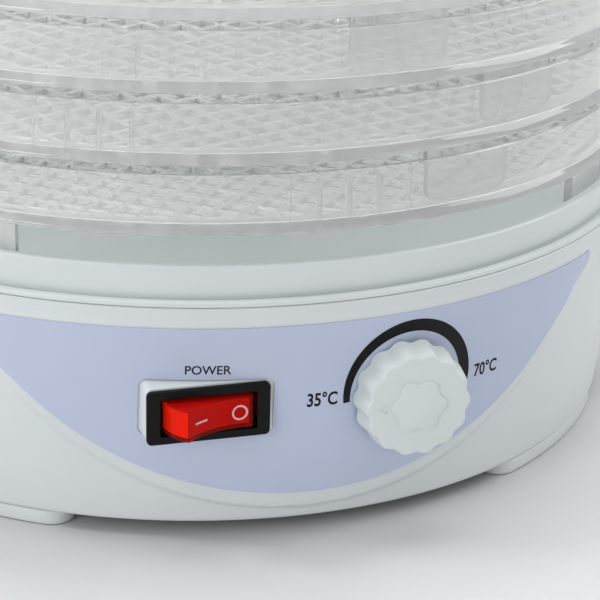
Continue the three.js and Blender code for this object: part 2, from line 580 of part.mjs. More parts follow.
const fan = cut(join(bar(FAN_HUB_RADIUS, FAN_HEIGHT, 0, 0, FAN_Z, 24), ...blades),
  bar(axleHole, FAN_HEIGHT + 2, 0, 0, FAN_Z - 1, 20));
place('fan_impeller', fan, blackPlastic);

// ---------------------------------------------------------------- power switch
const switchBottom = CONTROL_Z - SWITCH_BODY_HEIGHT / 2;
const switchMiddle = -(BEZEL_FACE - SWITCH_BODY_DEPTH / 2);
const switchBody = cut(
  join(frontPrism(roundedRectangle(BEZEL_WIDTH, BEZEL_HEIGHT, BEZEL_CORNER, SWITCH_X, CONTROL_Z),
    BEZEL_FACE, BEZEL_FACE - BEZEL_THICKNESS),
  block(SWITCH_BODY_WIDTH, SWITCH_BODY_DEPTH - 1, SWITCH_BODY_HEIGHT,
    SWITCH_X, switchMiddle + 0.5, switchBottom)),
  block(SWITCH_OPENING_WIDTH, 2 * SWITCH_OPENING_DEPTH, SWITCH_OPENING_HEIGHT,
    SWITCH_X, -BEZEL_FACE, CONTROL_Z - SWITCH_OPENING_HEIGHT / 2));
place('switch_body', switchBody, blackPlastic);

// Plan outline of the rocker about its pivot, before it is tilted. Its ends are arcs about the pivot.
function rockerSolid() {
  const cornerAngle = Math.atan2(ROCKER_CORNER_PROUD, ROCKER_CORNER);
  const backAngle = Math.asin(ROCKER_BACK / ROCKER_END);
  const shape = new THREE.Shape();
  shape.moveTo(ROCKER_CORNER, -ROCKER_CORNER_PROUD);
  shape.absarc(0, 0, ROCKER_END, -cornerAngle, backAngle, false);
  shape.absarc(0, 0, ROCKER_END, Math.PI - backAngle, Math.PI + cornerAngle, false);
  shape.quadraticCurveTo(0, -ROCKER_CORNER_PROUD + 2 * ROCKER_DISH, ROCKER_CORNER, -ROCKER_CORNER_PROUD);
  const height = SWITCH_OPENING_HEIGHT - 2 * ROCKER_EDGE_GAP;
  return upPrism(shape, -height / 2, height / 2, 8).rotate([0, 0, ROCKER_TILT])
    .translate([SWITCH_X, -(BEZEL_FACE - ROCKER_PIVOT_DEPTH), CONTROL_Z]);
}
place('power_rocker', rockerSolid(), redPlastic);

const bladeX = [-BLADE_PITCH, 0, BLADE_PITCH];
const terminalBack = BEZEL_FACE - SWITCH_BODY_DEPTH - TAB_GAP;
bladeX.forEach((x, i) => place(`switch_terminal_${i + 1}`,
  block(BLADE_THICKNESS, BLADE_LENGTH, BLADE_HEIGHT, SWITCH_X + x, -(terminalBack - BLADE_LENGTH / 2),
    CONTROL_Z - BLADE_HEIGHT / 2), brass));

// ---------------------------------------------------------------- thermostat and its knob
const bushingFront = KNOB_BOSS_FACE + NUT_THICKNESS + 1;
const thermostat = cut(
  join(block(THERMOSTAT_SIZE, THERMOSTAT_DEPTH, THERMOSTAT_SIZE, KNOB_X,
    -(THERMOSTAT_FRONT - THERMOSTAT_DEPTH / 2), KNOB_Z - THERMOSTAT_SIZE / 2),
  frontBar(BUSHING_RADIUS, bushingFront, THERMOSTAT_FRONT - 1, KNOB_X, KNOB_Z)),
  frontBar(SHAFT_RADIUS + SHAFT_CLEARANCE, IN_FRONT, THERMOSTAT_FRONT - 6, KNOB_X, KNOB_Z));
place('thermostat_body', thermostat, blackPlastic);
const nutBack = KNOB_BOSS_FACE + TAB_GAP;
place('thermostat_nut', cut(frontBar(NUT_RADIUS, nutBack + NUT_THICKNESS, nutBack, KNOB_X, KNOB_Z, 6),
  frontBar(BUSHING_RADIUS + SHAFT_CLEARANCE, IN_FRONT, INSIDE, KNOB_X, KNOB_Z)), brass);
const shaftFront = KNOB_FACE - KNOB_SHELL - FIT_GAP;
const shaft = frontBar(SHAFT_RADIUS, shaftFront, THERMOSTAT_FRONT - 5, KNOB_X, KNOB_Z, 24);
place('thermostat_shaft', shaft, steel);

// Round outline with soft waves about the knob's axis.
function waves(radius, depth, count, perWave, turn = 0) {
  const steps = count * perWave;
  const points = Array.from({ length: steps }, (_, i) => {
    const a = (2 * Math.PI * i) / steps;
    const r = radius - depth * (0.5 - 0.5 * Math.cos(count * a));
    return new THREE.Vector2(KNOB_X + r * Math.cos(a + turn), KNOB_Z + r * Math.sin(a + turn));
  });
  return new THREE.Shape(points);
}

function knobSolid() {
  const outline = waves(KNOB_BACK_RADIUS, KNOB_SCALLOP_DEPTH, KNOB_SCALLOPS, 4);
  const lobes = frontPrism(outline, KNOB_FACE, KNOB_BACK);
  const taper = frontBar(KNOB_FRONT_RADIUS, KNOB_FACE, KNOB_BACK, KNOB_X, KNOB_Z, 40, KNOB_BACK_RADIUS + 0.1);
  const star = frontPrism(waves(KNOB_STAR_RADIUS, 1.2, 6, 4), KNOB_FACE + KNOB_STAR_RAISE, KNOB_FACE - 1);
  const hollow = frontBar(KNOB_BACK_RADIUS - KNOB_SHELL, KNOB_FACE - KNOB_SHELL, INSIDE, KNOB_X, KNOB_Z, 24);
  const hubBack = bushingFront + 0.4;
  const hub = frontBar(KNOB_HUB_RADIUS, KNOB_FACE - 1, hubBack, KNOB_X, KNOB_Z);
  const bore = frontBar(SHAFT_RADIUS + SHAFT_CLEARANCE, shaftFront + TAB_GAP, INSIDE, KNOB_X, KNOB_Z, 24);
  return cut(join(cut(lobes.intersect(taper), hollow), star, hub), bore);
}
place('temperature_knob', knobSolid(), whitePlastic);

// ---------------------------------------------------------------- mains inlet and wiring
const wallOut = casingRadius(GLAND_Z + GLAND_FLANGE) + FIT_GAP;
const wallIn = casingRadius(GLAND_Z - GLAND_FLANGE) - CASING_WALL - 4 * FIT_GAP;
const gland = cut(join(
  frontBar(GLAND_RADIUS, -wallIn + GLAND_INNER_LIP, -GLAND_REACH, 0, GLAND_Z, 16),
  frontBar(GLAND_FLANGE, -wallOut, -wallOut - GLAND_LIP, 0, GLAND_Z, 16),
  frontBar(GLAND_FLANGE, -wallIn + GLAND_INNER_LIP, -wallIn, 0, GLAND_Z, 16)),
frontBar(GLAND_BORE, -INSIDE, -IN_FRONT, 0, GLAND_Z, 16));
place('cord_gland', gland, rubber);

const blockZ = COVER_Z + COVER_THICKNESS + TAB_GAP;
const blockY = POST_CIRCLE;
const wireHoles = [-TERMINAL_PITCH, 0, TERMINAL_PITCH].map(
  (x) => frontBar(TERMINAL_BORE, -blockY + 10, -blockY - 10, x, blockZ + 5, 12));
place('terminal_block', cut(block(...TERMINAL_BLOCK, 0, blockY, blockZ), ...wireHoles), greyPlastic);

function lead(points) {
  const path = new THREE.CatmullRomCurve3(points.map((p) => new THREE.Vector3(...p)));
  const section = new THREE.Shape().absarc(0, 0, LEAD_RADIUS, 0, 2 * Math.PI, false);
  const steps = 4 * (points.length - 1);
  const options = { steps, extrudePath: path, bevelEnabled: false, curveSegments: 3 };
  return solid(new THREE.ExtrudeGeometry(section, options));
}

const blockFace = blockY - TERMINAL_BLOCK[1] / 2 - 1;
const bladeEnd = -(terminalBack - BLADE_LENGTH) + LEAD_RADIUS;
const thermostatBack = -(THERMOSTAT_FRONT - THERMOSTAT_DEPTH) + LEAD_RADIUS;
const leadRoutes = {
  lead_live: [redWire, [[-TERMINAL_PITCH, blockFace, 12], [-38, 66, 11], [-68, 30, 12], [-70, -15, 14],
    [-52, -55, 22],
    [SWITCH_X - BLADE_PITCH, bladeEnd, CONTROL_Z]]],
  lead_switched: [redWire, [[SWITCH_X + BLADE_PITCH, bladeEnd, CONTROL_Z], [-8, -84, 42], [6, -84, 44],
    [KNOB_X - 7, thermostatBack, KNOB_Z]]],
  lead_heater: [redWire, [[KNOB_X + 7, thermostatBack, KNOB_Z], [36, -80, 44], [18, -56, 52],
    [2, -SHIELD_RADIUS - 8, SHIELD_BOTTOM + 11]]],
  lead_neutral: [blueWire, [[TERMINAL_PITCH, blockFace, 12], [40, 66, 12], [60, 34, 26], [56, 14, 48],
    [SHIELD_RADIUS + 2, 6, SHIELD_BOTTOM + 14]]],
};
Object.entries(leadRoutes).forEach(([name, [material, points]]) => place(name, lead(points), material));

// ---------------------------------------------------------------- trays and lid
const wallFoot = TRAY_RADIUS - TRAY_LIP_STEP;
const wallInner = wallFoot - TRAY_WALL;

function hangingTab() {
  const half = rad(TAB_SPAN / 2);
  const shape = new THREE.Shape();
  shape.absarc(0, 0, TAB_RADIUS + TAB_THICKNESS / 2, -half, half, false);
  shape.absarc(0, 0, TAB_RADIUS - TAB_THICKNESS / 2, half, -half, true);
  shape.closePath();
  return upPrism(shape, -TAB_LENGTH, TRAY_FLOOR / 2, 1);
}
const tabs = [45, 135, 225, 315].map((a) => hangingTab().rotate([0, 0, a]));

// The front of a tray's rib group looks towards -Y before the tray is turned.
function trayRing() {
  return turned([
    [wallInner - TRAY_FLOOR_RING, 0], [TRAY_RADIUS, 0], [TRAY_RADIUS, TRAY_LIP_HEIGHT],
    [wallFoot, TRAY_LIP_HEIGHT], [wallFoot - TRAY_WALL_LEAN, TRAY_WALL_TOP],
    [wallInner - TRAY_WALL_LEAN, TRAY_WALL_TOP],
    [wallInner, TRAY_FLOOR], [wallInner - TRAY_FLOOR_RING, TRAY_FLOOR],
  ], TRAY_SEGMENTS);
}

function trayFloor() {
  const reach = wallInner - TRAY_FLOOR_RING + 1;
  const count = Math.floor((reach - TRAY_BAR_WIDTH) / TRAY_BAR_PITCH);
  const bars = [];
  for (let i = -count; i <= count; i += 1) {
    const x = i * TRAY_BAR_PITCH;
    const length = 2 * Math.sqrt(reach ** 2 - (Math.abs(x) + TRAY_BAR_WIDTH / 2) ** 2) - 1;
    bars.push(block(TRAY_BAR_WIDTH, length, TRAY_FLOOR, x));
  }
  const collarOuter = TRAY_COLLAR_RADIUS + TRAY_COLLAR_WALL;
  return join(cut(join(...bars), bar(collarOuter - 0.4, 10, 0, 0, -4, 20)),
    tube(TRAY_COLLAR_RADIUS, collarOuter, 0, TRAY_COLLAR_HEIGHT, 20));
}

const traySolid = join(trayRing(), trayFloor(), ...tabs);
TRAY_TURNS.slice(0, TRAY_COUNT).forEach((turn, i) => {
  const tray = place(`tray_${i + 1}`, traySolid, clearPlastic);
  tray.position.z = FIRST_TRAY_Z + i * TRAY_PITCH;
  tray.rotation.z = rad(turn);
});

function lidSolid() {
  const shoulder = wallFoot - 6;
  const crown = LID_VENT_OUTER + 10;
  const under = LID_DOME_HEIGHT - TRAY_WALL;
  const shell = turned([
    [0, under], [crown, under - LID_FALL], [shoulder - 1, LID_SHOULDER - TRAY_WALL],
    [wallInner, TRAY_LIP_HEIGHT], [wallInner, 0], [TRAY_RADIUS, 0], [TRAY_RADIUS, TRAY_LIP_HEIGHT],
    [wallFoot, TRAY_LIP_HEIGHT], [shoulder, LID_SHOULDER], [crown, LID_DOME_HEIGHT - LID_FALL],
    [LID_HUB_RADIUS + 1, LID_DOME_HEIGHT], [LID_HUB_RADIUS, LID_DOME_HEIGHT + LID_HUB_HEIGHT],
    [0, LID_DOME_HEIGHT + LID_HUB_HEIGHT],
  ], TRAY_SEGMENTS);
  const vents = radialSlots(LID_VENTS, LID_VENT_INNER, LID_VENT_OUTER, LID_VENT_WIDTH,
    LID_SHOULDER, LID_DOME_HEIGHT + 4);
  const ledge = tube(TAB_RADIUS - TAB_THICKNESS / 2, wallInner + 0.5, 0.4, 2, TRAY_SEGMENTS);
  return join(cut(shell, ...vents), ledge, ...tabs);
}
const lid = place('lid', lidSolid(), clearPlastic);
lid.position.z = LID_Z;
lid.rotation.z = rad(LID_TURN);

export default dehydrator;
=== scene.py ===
import math

import bpy
from mathutils import Matrix, Vector


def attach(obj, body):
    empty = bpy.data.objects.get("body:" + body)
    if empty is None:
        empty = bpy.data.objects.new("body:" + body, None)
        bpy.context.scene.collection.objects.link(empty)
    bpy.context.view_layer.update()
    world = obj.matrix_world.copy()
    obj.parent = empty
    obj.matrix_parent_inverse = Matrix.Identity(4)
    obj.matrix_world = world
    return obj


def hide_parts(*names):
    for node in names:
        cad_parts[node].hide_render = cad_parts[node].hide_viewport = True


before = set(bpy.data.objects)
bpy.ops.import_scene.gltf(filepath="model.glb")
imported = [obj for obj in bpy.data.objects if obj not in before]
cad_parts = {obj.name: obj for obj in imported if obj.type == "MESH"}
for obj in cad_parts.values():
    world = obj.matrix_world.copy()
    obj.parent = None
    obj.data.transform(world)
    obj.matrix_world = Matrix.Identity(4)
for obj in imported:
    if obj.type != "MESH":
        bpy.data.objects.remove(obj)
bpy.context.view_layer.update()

MM = 0.001

# ---------------------------------------------------------------- the table, the light and the view
# The machine stands on a pale seamless table top under soft square lamps. The main one hangs
# above and a little behind, so a soft shade lies under the front edge; the others fill the sides.
TABLE_SIZE = 6.0
TABLE_HEIGHT = -0.0002         # a hair under the feet, in metres
TABLE_COLOUR = (0.66, 0.665, 0.665)
LENS = 132.46
VIEW_HEADING = 72.875          # degrees from +X
VIEW_DOWN = 21.747
VIEW_ROLL = 1.563
VIEW_PLACE = (-0.1506, -0.5997, 0.2630)


def start():
    """Object mode with nothing selected, ready for a new piece."""
    if bpy.context.object and bpy.context.object.mode != "OBJECT":
        bpy.ops.object.mode_set(mode="OBJECT")
    bpy.ops.object.select_all(action="DESELECT")


def named(name):
    """The piece just added, with its name, its place moved into its mesh."""
    piece = bpy.context.object
    piece.name = piece.data.name = name
    bpy.ops.object.transform_apply(location=True, rotation=True, scale=True)
    return piece


def new_material(name):
    """An empty Principled material: the material, its node tree and its shader."""
    material = bpy.data.materials.new(name)
    material.use_nodes = True
    tree = material.node_tree
    shader = next(n for n in tree.nodes if n.type == "BSDF_PRINCIPLED")
    return material, tree, shader


def noise(tree, scale, detail=3.0, rough=0.5):
    """Noise over the piece's own coordinates; scale is in waves per metre."""
    place = tree.nodes.new("ShaderNodeTexCoord")
    texture = tree.nodes.new("ShaderNodeTexNoise")
    texture.inputs["Scale"].default_value = scale
    texture.inputs["Detail"].default_value = detail
    texture.inputs["Roughness"].default_value = rough
    tree.links.new(place.outputs["Object"], texture.inputs["Vector"])
    return texture.outputs["Fac"]


def spread(tree, value, low, high, target):
    """Carries a 0.3 to 0.7 noise over to the range low to high, into the target socket."""
    ramp = tree.nodes.new("ShaderNodeMapRange")
    ramp.inputs["From Min"].default_value = 0.3
    ramp.inputs["From Max"].default_value = 0.7
    ramp.inputs["To Min"].default_value = low
    ramp.inputs["To Max"].default_value = high
    tree.links.new(value, ramp.inputs["Value"])
    tree.links.new(ramp.outputs["Result"], target)


def tint(tree, value, dark, light, target):
    """Colour between two close tones, led by a noise."""
    ramp = tree.nodes.new("ShaderNodeValToRGB")
    ramp.color_ramp.elements[0].position = 0.35
    ramp.color_ramp.elements[0].color = (*dark, 1)
    ramp.color_ramp.elements[1].position = 0.65
    ramp.color_ramp.elements[1].color = (*light, 1)
    tree.links.new(value, ramp.inputs["Fac"])
    tree.links.new(ramp.outputs["Color"], target)


def grain(tree, value, shader, depth):
    """Fine surface relief, depth in metres."""
    bump = tree.nodes.new("ShaderNodeBump")
    bump.inputs["Strength"].default_value = 1.0
    bump.inputs["Distance"].default_value = depth
    tree.links.new(value, bump.inputs["Height"])
    tree.links.new(bump.outputs["Normal"], shader.inputs["Normal"])


def moulded(name, colour, roughness, depth=2e-6, wave=900.0, specular=0.5, coat=0.0):
    """Moulded plastic: a faint drift of tone, uneven gloss and a fine skin."""
    material, tree, shader = new_material(name)
    tone = noise(tree, 25.0)
    dark = tuple(c * 0.965 for c in colour)
    tint(tree, tone, dark, colour, shader.inputs["Base Color"])
    spread(tree, noise(tree, 160.0), roughness * 0.9, roughness * 1.12, shader.inputs["Roughness"])
    grain(tree, noise(tree, wave, 4.0, 0.6), shader, depth)
    shader.inputs["Specular IOR Level"].default_value = specular
    shader.inputs["Coat Weight"].default_value = coat
    shader.inputs["Coat Roughness"].default_value = 0.12
    return material


def lamp(name, size, power, place, target, colour):
    """Square soft lamp of that size in metres, aimed at a point."""
    start()
    bpy.ops.object.light_add(type="AREA", location=place)
    light = bpy.context.object
    light.name = name
    light.data.size = size
    light.data.energy = power
    light.data.color = colour
    aim = Vector(target) - Vector(place)
    light.rotation_euler = aim.to_track_quat("-Z", "Y").to_euler()


start()
bpy.ops.object.camera_add(location=VIEW_PLACE)
camera = bpy.context.object
camera.data.lens = LENS
turn = Matrix.Rotation(math.radians(VIEW_HEADING - 90), 4, "Z")
nod = Matrix.Rotation(math.radians(90 - VIEW_DOWN), 4, "X")
lean = Matrix.Rotation(math.radians(VIEW_ROLL), 4, "Z")
camera.matrix_world = Matrix.Translation(VIEW_PLACE) @ turn @ nod @ lean
camera.data.clip_start = 0.01
bpy.context.scene.camera = camera
bpy.context.scene.view_settings.view_transform = "Standard"

start()
bpy.ops.mesh.primitive_plane_add(size=TABLE_SIZE, location=(0, 0, TABLE_HEIGHT))
table = named("table_top")
table.data.materials.append(moulded("table_paint", TABLE_COLOUR, 0.6, depth=1e-6, wave=300.0, specular=0.2))

world = bpy.data.worlds.new("studio")
bpy.context.scene.world = world
world.use_nodes = True
sky = world.node_tree.nodes["Background"]
sky.inputs["Color"].default_value = (0.96, 0.98, 1.0, 1)
sky.inputs["Strength"].default_value = 0.62
lamp("top_lamp", 0.9, 13.0, (0.05, 0.2, 1.5), (0, 0, 0.05), (1, 1, 1))
lamp("left_lamp", 0.6, 5.6, (-1.3, -0.8, 0.5), (0, 0, 0.08), (0.98, 0.99, 1.0))
lamp("right_lamp", 0.6, 4.2, (1.1, -0.1, 0.95), (0, 0, 0.1), (1, 1, 1))
lamp("rim_lamp", 0.2, 3.2, (-0.95, 0.15, 1.05), (0, 0, 0.1), (1, 1, 1))

# ---------------------------------------------------------------- lower casing
# A round shell moulded in cool white ABS. Its front carries a raised crescent for the label,
# a flat boss for the switch and a round one behind the knob; the cord leaves at the back.
FOOT_TOP = 4.0
CASING_FOOT = 121.5
CASING_AT_LABEL = 126.9
CASING_TOP = 127.2
LABEL_TOP = 59.1
SEAM = 64.3
WALL = 2.4
CASING_SIDES = 600
FASCIA_LOW = 6.8
FASCIA_CURVE = 107.0
FASCIA_TOP = 60.2
FASCIA_RAMP = 1.4
FASCIA_PROUD = (1.3, 0.35)
SWITCH_X = -27.2
CONTROL_Z = 37.7
BOSS_X = SWITCH_X + 0.6
BOSS_MARGIN = 0.45
BOSS_CORNER = 1.6
BOSS_BACK = 113
SWITCH_HOLE_WIDTH = 28.6
SWITCH_HOLE_HEIGHT = 12.6
BEZEL_WIDTH = 31.0
BEZEL_HEIGHT = 14.0
BEZEL_THICK = 1.6
BEZEL_FACE = 127.0
KNOB_X = 24.4
KNOB_Z = 37.6
KNOB_FACE = 134.0
KNOB_BACK = 126.1
KNOB_BOSS_RADIUS = 8.5
KNOB_BOSS_BACK = 114.8
SHAFT_HOLE_RADIUS = 5.2
CORD_Z = 20
CORD_HOLE_RADIUS = 6.3
IN_FRONT, INSIDE = 140, 100    # how far the cutters reach, in front of the middle


def edit(mode="EDGE"):
    """Edit mode with everything selected."""
    bpy.ops.object.mode_set(mode="EDIT")
    bpy.ops.mesh.select_mode(type=mode)
    bpy.ops.mesh.select_all(action="SELECT")


def leave_edit(merge=1e-7):
    """Merges doubles, turns the faces outwards and leaves edit mode."""
    bpy.ops.mesh.select_all(action="SELECT")
    bpy.ops.mesh.remove_doubles(threshold=merge)
    bpy.ops.mesh.normals_make_consistent(inside=False)
    bpy.ops.object.mode_set(mode="OBJECT")


def turned(name, outline, sides, caps=False):
    """A circle of that many sides, extruded and resized along [radius, height] points in mm.
    Without caps the outline closes on itself; with them both end circles are filled."""
    start()
    radius, height = outline[0]
    bpy.ops.mesh.primitive_circle_add(vertices=sides, radius=radius * MM, location=(0, 0, height * MM),
                                      fill_type="NGON" if caps else "NOTHING")
    edit()
    for r, z in outline[1:] + ([] if caps else outline[:1]):
        bpy.ops.mesh.extrude_edges_move(TRANSFORM_OT_translate={"value": (0, 0, (z - height) * MM)})
        bpy.ops.transform.resize(value=(r / radius, r / radius, 1), center_override=(0, 0, z * MM))
        radius, height = r, z
    if caps:
        bpy.ops.mesh.edge_face_add()
    leave_edit()
    return named(name)


def use(piece):
    """Makes a piece the only selected and active one."""
    start()
    piece.select_set(True)
    bpy.context.view_layer.objects.active = piece


def eased(piece, width, angle=30.0, segments=3):
    """Rounds the piece's edges that are sharper than the angle; width in mm."""
    use(piece)
    bevel = piece.modifiers.new("eased_edges", "BEVEL")
    bevel.width = width * MM
    bevel.segments = segments
    bevel.limit_method = "ANGLE"
    bevel.angle_limit = math.radians(angle)
    bpy.ops.object.modifier_apply(modifier=bevel.name)


def smooth(piece, angle=35.0):
    use(piece)
    bpy.ops.object.shade_smooth_by_angle(angle=math.radians(angle))


def boolean(piece, tool, operation="DIFFERENCE"):
    """Cuts, joins or trims a piece by a tool, which is then thrown away."""
    use(piece)
    cut = piece.modifiers.new("cut", "BOOLEAN")
    cut.operation = operation
    cut.solver = "EXACT"
    cut.object = tool
    bpy.ops.object.modifier_apply(modifier=cut.name)
    bpy.data.objects.remove(tool)


def front_block(name, width, height, x, z, front, back, corner):
    """Block that faces -Y, from front to back, its four long edges rounded; all in mm."""
    start()
    bpy.ops.mesh.primitive_cube_add(size=1, location=(x * MM, -(front + back) / 2 * MM, z * MM),
                                    scale=(width * MM, (front - back) * MM, height * MM))
    block = named(name)
    edit()
    bpy.ops.mesh.select_all(action="DESELECT")
    bpy.ops.object.mode_set(mode="OBJECT")
    for edge in block.data.edges:
        a, b = (block.data.vertices[i].co for i in edge.vertices)
        edge.select = abs(a.y - b.y) > 1e-5
    bpy.ops.object.mode_set(mode="EDIT")
    bpy.ops.mesh.bevel(offset=corner * MM, segments=6, affect="EDGES")
    bpy.ops.object.mode_set(mode="OBJECT")
    return block


def front_bar(name, radius, x, z, front, back, sides=64):
    """Round bar along Y, from front to back; all in mm."""
    start()
    bpy.ops.mesh.primitive_cylinder_add(vertices=sides, radius=radius * MM, depth=(front - back) * MM,
                                        location=(x * MM, -(front + back) / 2 * MM, z * MM),
                                        rotation=(math.pi / 2, 0, 0))
    return named(name)


def casing_radius(z):
    """Outer radius of the casing's plain wall at a height in mm."""
    if z <= LABEL_TOP:
        return CASING_FOOT + (CASING_AT_LABEL - CASING_FOOT) * (z - FOOT_TOP) / (LABEL_TOP - FOOT_TOP)
    return CASING_AT_LABEL + (CASING_TOP - CASING_AT_LABEL) * (z - LABEL_TOP) / (SEAM - LABEL_TOP)


def ease(t):
    t = min(max(t, 0.0), 1.0)
    return t * t * (3 - 2 * t)


def fascia_lift(s, z):
    """How far the raised crescent stands out at arc length s and height z, in mm."""
    inside = FASCIA_CURVE - math.hypot(s, z - FASCIA_LOW - FASCIA_CURVE)
    low, high = FASCIA_PROUD
    proud = low + (high - low) * (z - FASCIA_LOW) / (FASCIA_TOP - FASCIA_LOW)
    return proud * ease(inside / FASCIA_RAMP) * ease((FASCIA_TOP + 1.5 - z) / 3.0)


def arc_length(x, z):
    """Distance along the casing from the middle of the front to a point x to the side."""
    r = casing_radius(z)
    return r * math.asin(x / r)


white = moulded("white_abs", (0.71, 0.745, 0.745), 0.32, depth=1.5e-6, wave=1400.0)

wall_steps = 96
wall_low, wall_high = FOOT_TOP + 0.8, SEAM - 0.3
levels = [wall_low + (wall_high - wall_low) * i / wall_steps for i in range(wall_steps + 1)]
casing = turned("casing", [[CASING_FOOT - WALL, FOOT_TOP + 0.1], [CASING_FOOT - 0.9, FOOT_TOP],
                           [CASING_FOOT - 0.25, FOOT_TOP + 0.25]]
                + [[casing_radius(z), z] for z in levels]
                + [[CASING_TOP - 0.25, SEAM - 0.05], [CASING_TOP - WALL, SEAM - 0.05]], CASING_SIDES)
for vertex in casing.data.vertices:
    x, y, z = (c / MM for c in vertex.co)
    r = math.hypot(x, y)
    if y < 0 and r > casing_radius(z) - 0.6:
        s = math.atan2(x, -y) * casing_radius(z)
        grow = (r + fascia_lift(s, z)) / r
        vertex.co.x *= grow
        vertex.co.y *= grow
boss_face = BEZEL_FACE - BEZEL_THICK - 0.1
boss = front_block("switch_boss", BEZEL_WIDTH + 2 * BOSS_MARGIN, BEZEL_HEIGHT + 2 * BOSS_MARGIN,
                   BOSS_X, CONTROL_Z, boss_face, BOSS_BACK, BOSS_CORNER)
eased(boss, 0.3)
boolean(casing, boss, "UNION")
knob_boss = front_bar("knob_boss", KNOB_BOSS_RADIUS, KNOB_X, KNOB_Z, KNOB_BACK - 0.3, KNOB_BOSS_BACK)
boolean(casing, knob_boss, "UNION")
boolean(casing, front_block("switch_hole", SWITCH_HOLE_WIDTH, SWITCH_HOLE_HEIGHT, SWITCH_X, CONTROL_Z,
                            IN_FRONT, INSIDE, 0.5))
boolean(casing, front_bar("knob_hole", SHAFT_HOLE_RADIUS, KNOB_X, KNOB_Z, IN_FRONT, INSIDE, 32))
boolean(casing, front_bar("cord_hole", CORD_HOLE_RADIUS, 0, CORD_Z, -INSIDE, -IN_FRONT, 48))
smooth(casing, 30)
casing.data.materials.append(white)
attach(casing, "base")
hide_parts("base_casing")

# ---------------------------------------------------------------- deck and outlet
# The upper ring drops into the casing and closes it. Its bead meets the casing at a thin dark
# seam, its band carries the rim, and the deck inside rises to the throat that lets the warm air out.
RIM = 74.5
DECK = 66.8
THROAT = 35.5
BAND_FOOT = CASING_TOP - 2.6
POST_RADIUS = 4.5
POST_LENGTH = 58.6
POST_MIDDLE = 36.2
POST_SIDE = 65.05
POSTS = [(x * POST_SIDE, y * POST_SIDE) for x, y in ((1, 1), (-1, 1), (-1, -1), (1, -1))]

bead = [[122.0, 60.4], [124.3, 60.4], [124.3, 64.42], [126.95, 64.42], [127.15, 64.62], [127.2, 65.1],
        [127.05, 65.55], [126.6, 65.9], [126.1, 66.05], [125.7, 66.0], [125.3, 65.3]]
band = [[BAND_FOOT + 0.2, 65.0], [BAND_FOOT - 0.15, 65.4], [BAND_FOOT, 66.5], [BAND_FOOT + 0.9, RIM - 0.9],
        [BAND_FOOT + 0.85, RIM - 0.4], [BAND_FOOT + 0.5, RIM - 0.08], [BAND_FOOT, RIM], [BAND_FOOT - 1.0, RIM],
        [BAND_FOOT - 1.5, RIM - 0.2], [BAND_FOOT - 1.7, RIM - 0.7], [BAND_FOOT - 2.1, DECK + 1.2],
        [BAND_FOOT - 3.1, DECK + 0.15], [BAND_FOOT - 4.6, DECK]]
outlet = [[46.5, DECK], [40.0, DECK + 1.2], [38.2, DECK + 2.6], [37.9, DECK + 10.6], [37.5, DECK + 11.1],
          [37.0, DECK + 11.2], [36.0, DECK + 11.2], [THROAT, DECK + 10.8], [THROAT, DECK - 2.2],
          [122.0, DECK - 2.2]]
deck = turned("deck_ring", bead + band + outlet, 384)
for x, y in POSTS:
    start()
    bpy.ops.mesh.primitive_cylinder_add(vertices=32, radius=POST_RADIUS * MM, depth=POST_LENGTH * MM,
                                        location=(x * MM, y * MM, POST_MIDDLE * MM))
    boolean(deck, named("screw_post"), "UNION")
smooth(deck, 30)
deck.data.materials.append(white)
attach(deck, "base")
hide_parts("base_top_cover")

# ---------------------------------------------------------------- front label
# A lavender printed film stuck on the raised crescent, cut out round the switch boss and the
# knob. The dial's band, its two end temperatures and the switch's word are printed in black.
LABEL_LOW = 12.2
LABEL_CURVE = 110.0
LABEL_TIP = 94.4
TIP_FROM = 72.0
TIP_HOLLOW = 0.004
TIP_CORNER = 1.1
LABEL_THICK = 0.3
LABEL_LIFT = 0.1
WINDOW_GAP = 0.2
WINDOW_CORNER = 1.8
SHAFT_WINDOW_RADIUS = 9.0
INK_THICK = 0.03
PRINT_LIFT = LABEL_LIFT + LABEL_THICK
TEMPERATURE_HEIGHT = 3.95
TEMPERATURE_WIDTH = 7.8
TEMPERATURE_WEIGHT = 0.022
DIAL_X = 25.25
DIAL_Z = 38.8
ARC_RADIUS = 18.2
ARC_FROM, ARC_TO = 187.6, -14.0
ARC_THIN, ARC_SWELL = 1.7, 1.7


def wrap(piece):
    """Lays a flat piece, drawn at y = minus its lift, round the casing's front."""
    for v in piece.data.vertices:
        s, lift, z = v.co.x / MM, -v.co.y / MM, v.co.z / MM
        r = casing_radius(z) + fascia_lift(s, z) + lift
        angle = s / casing_radius(z)
        v.co = Vector((r * math.sin(angle), -r * math.cos(angle), z)) * MM


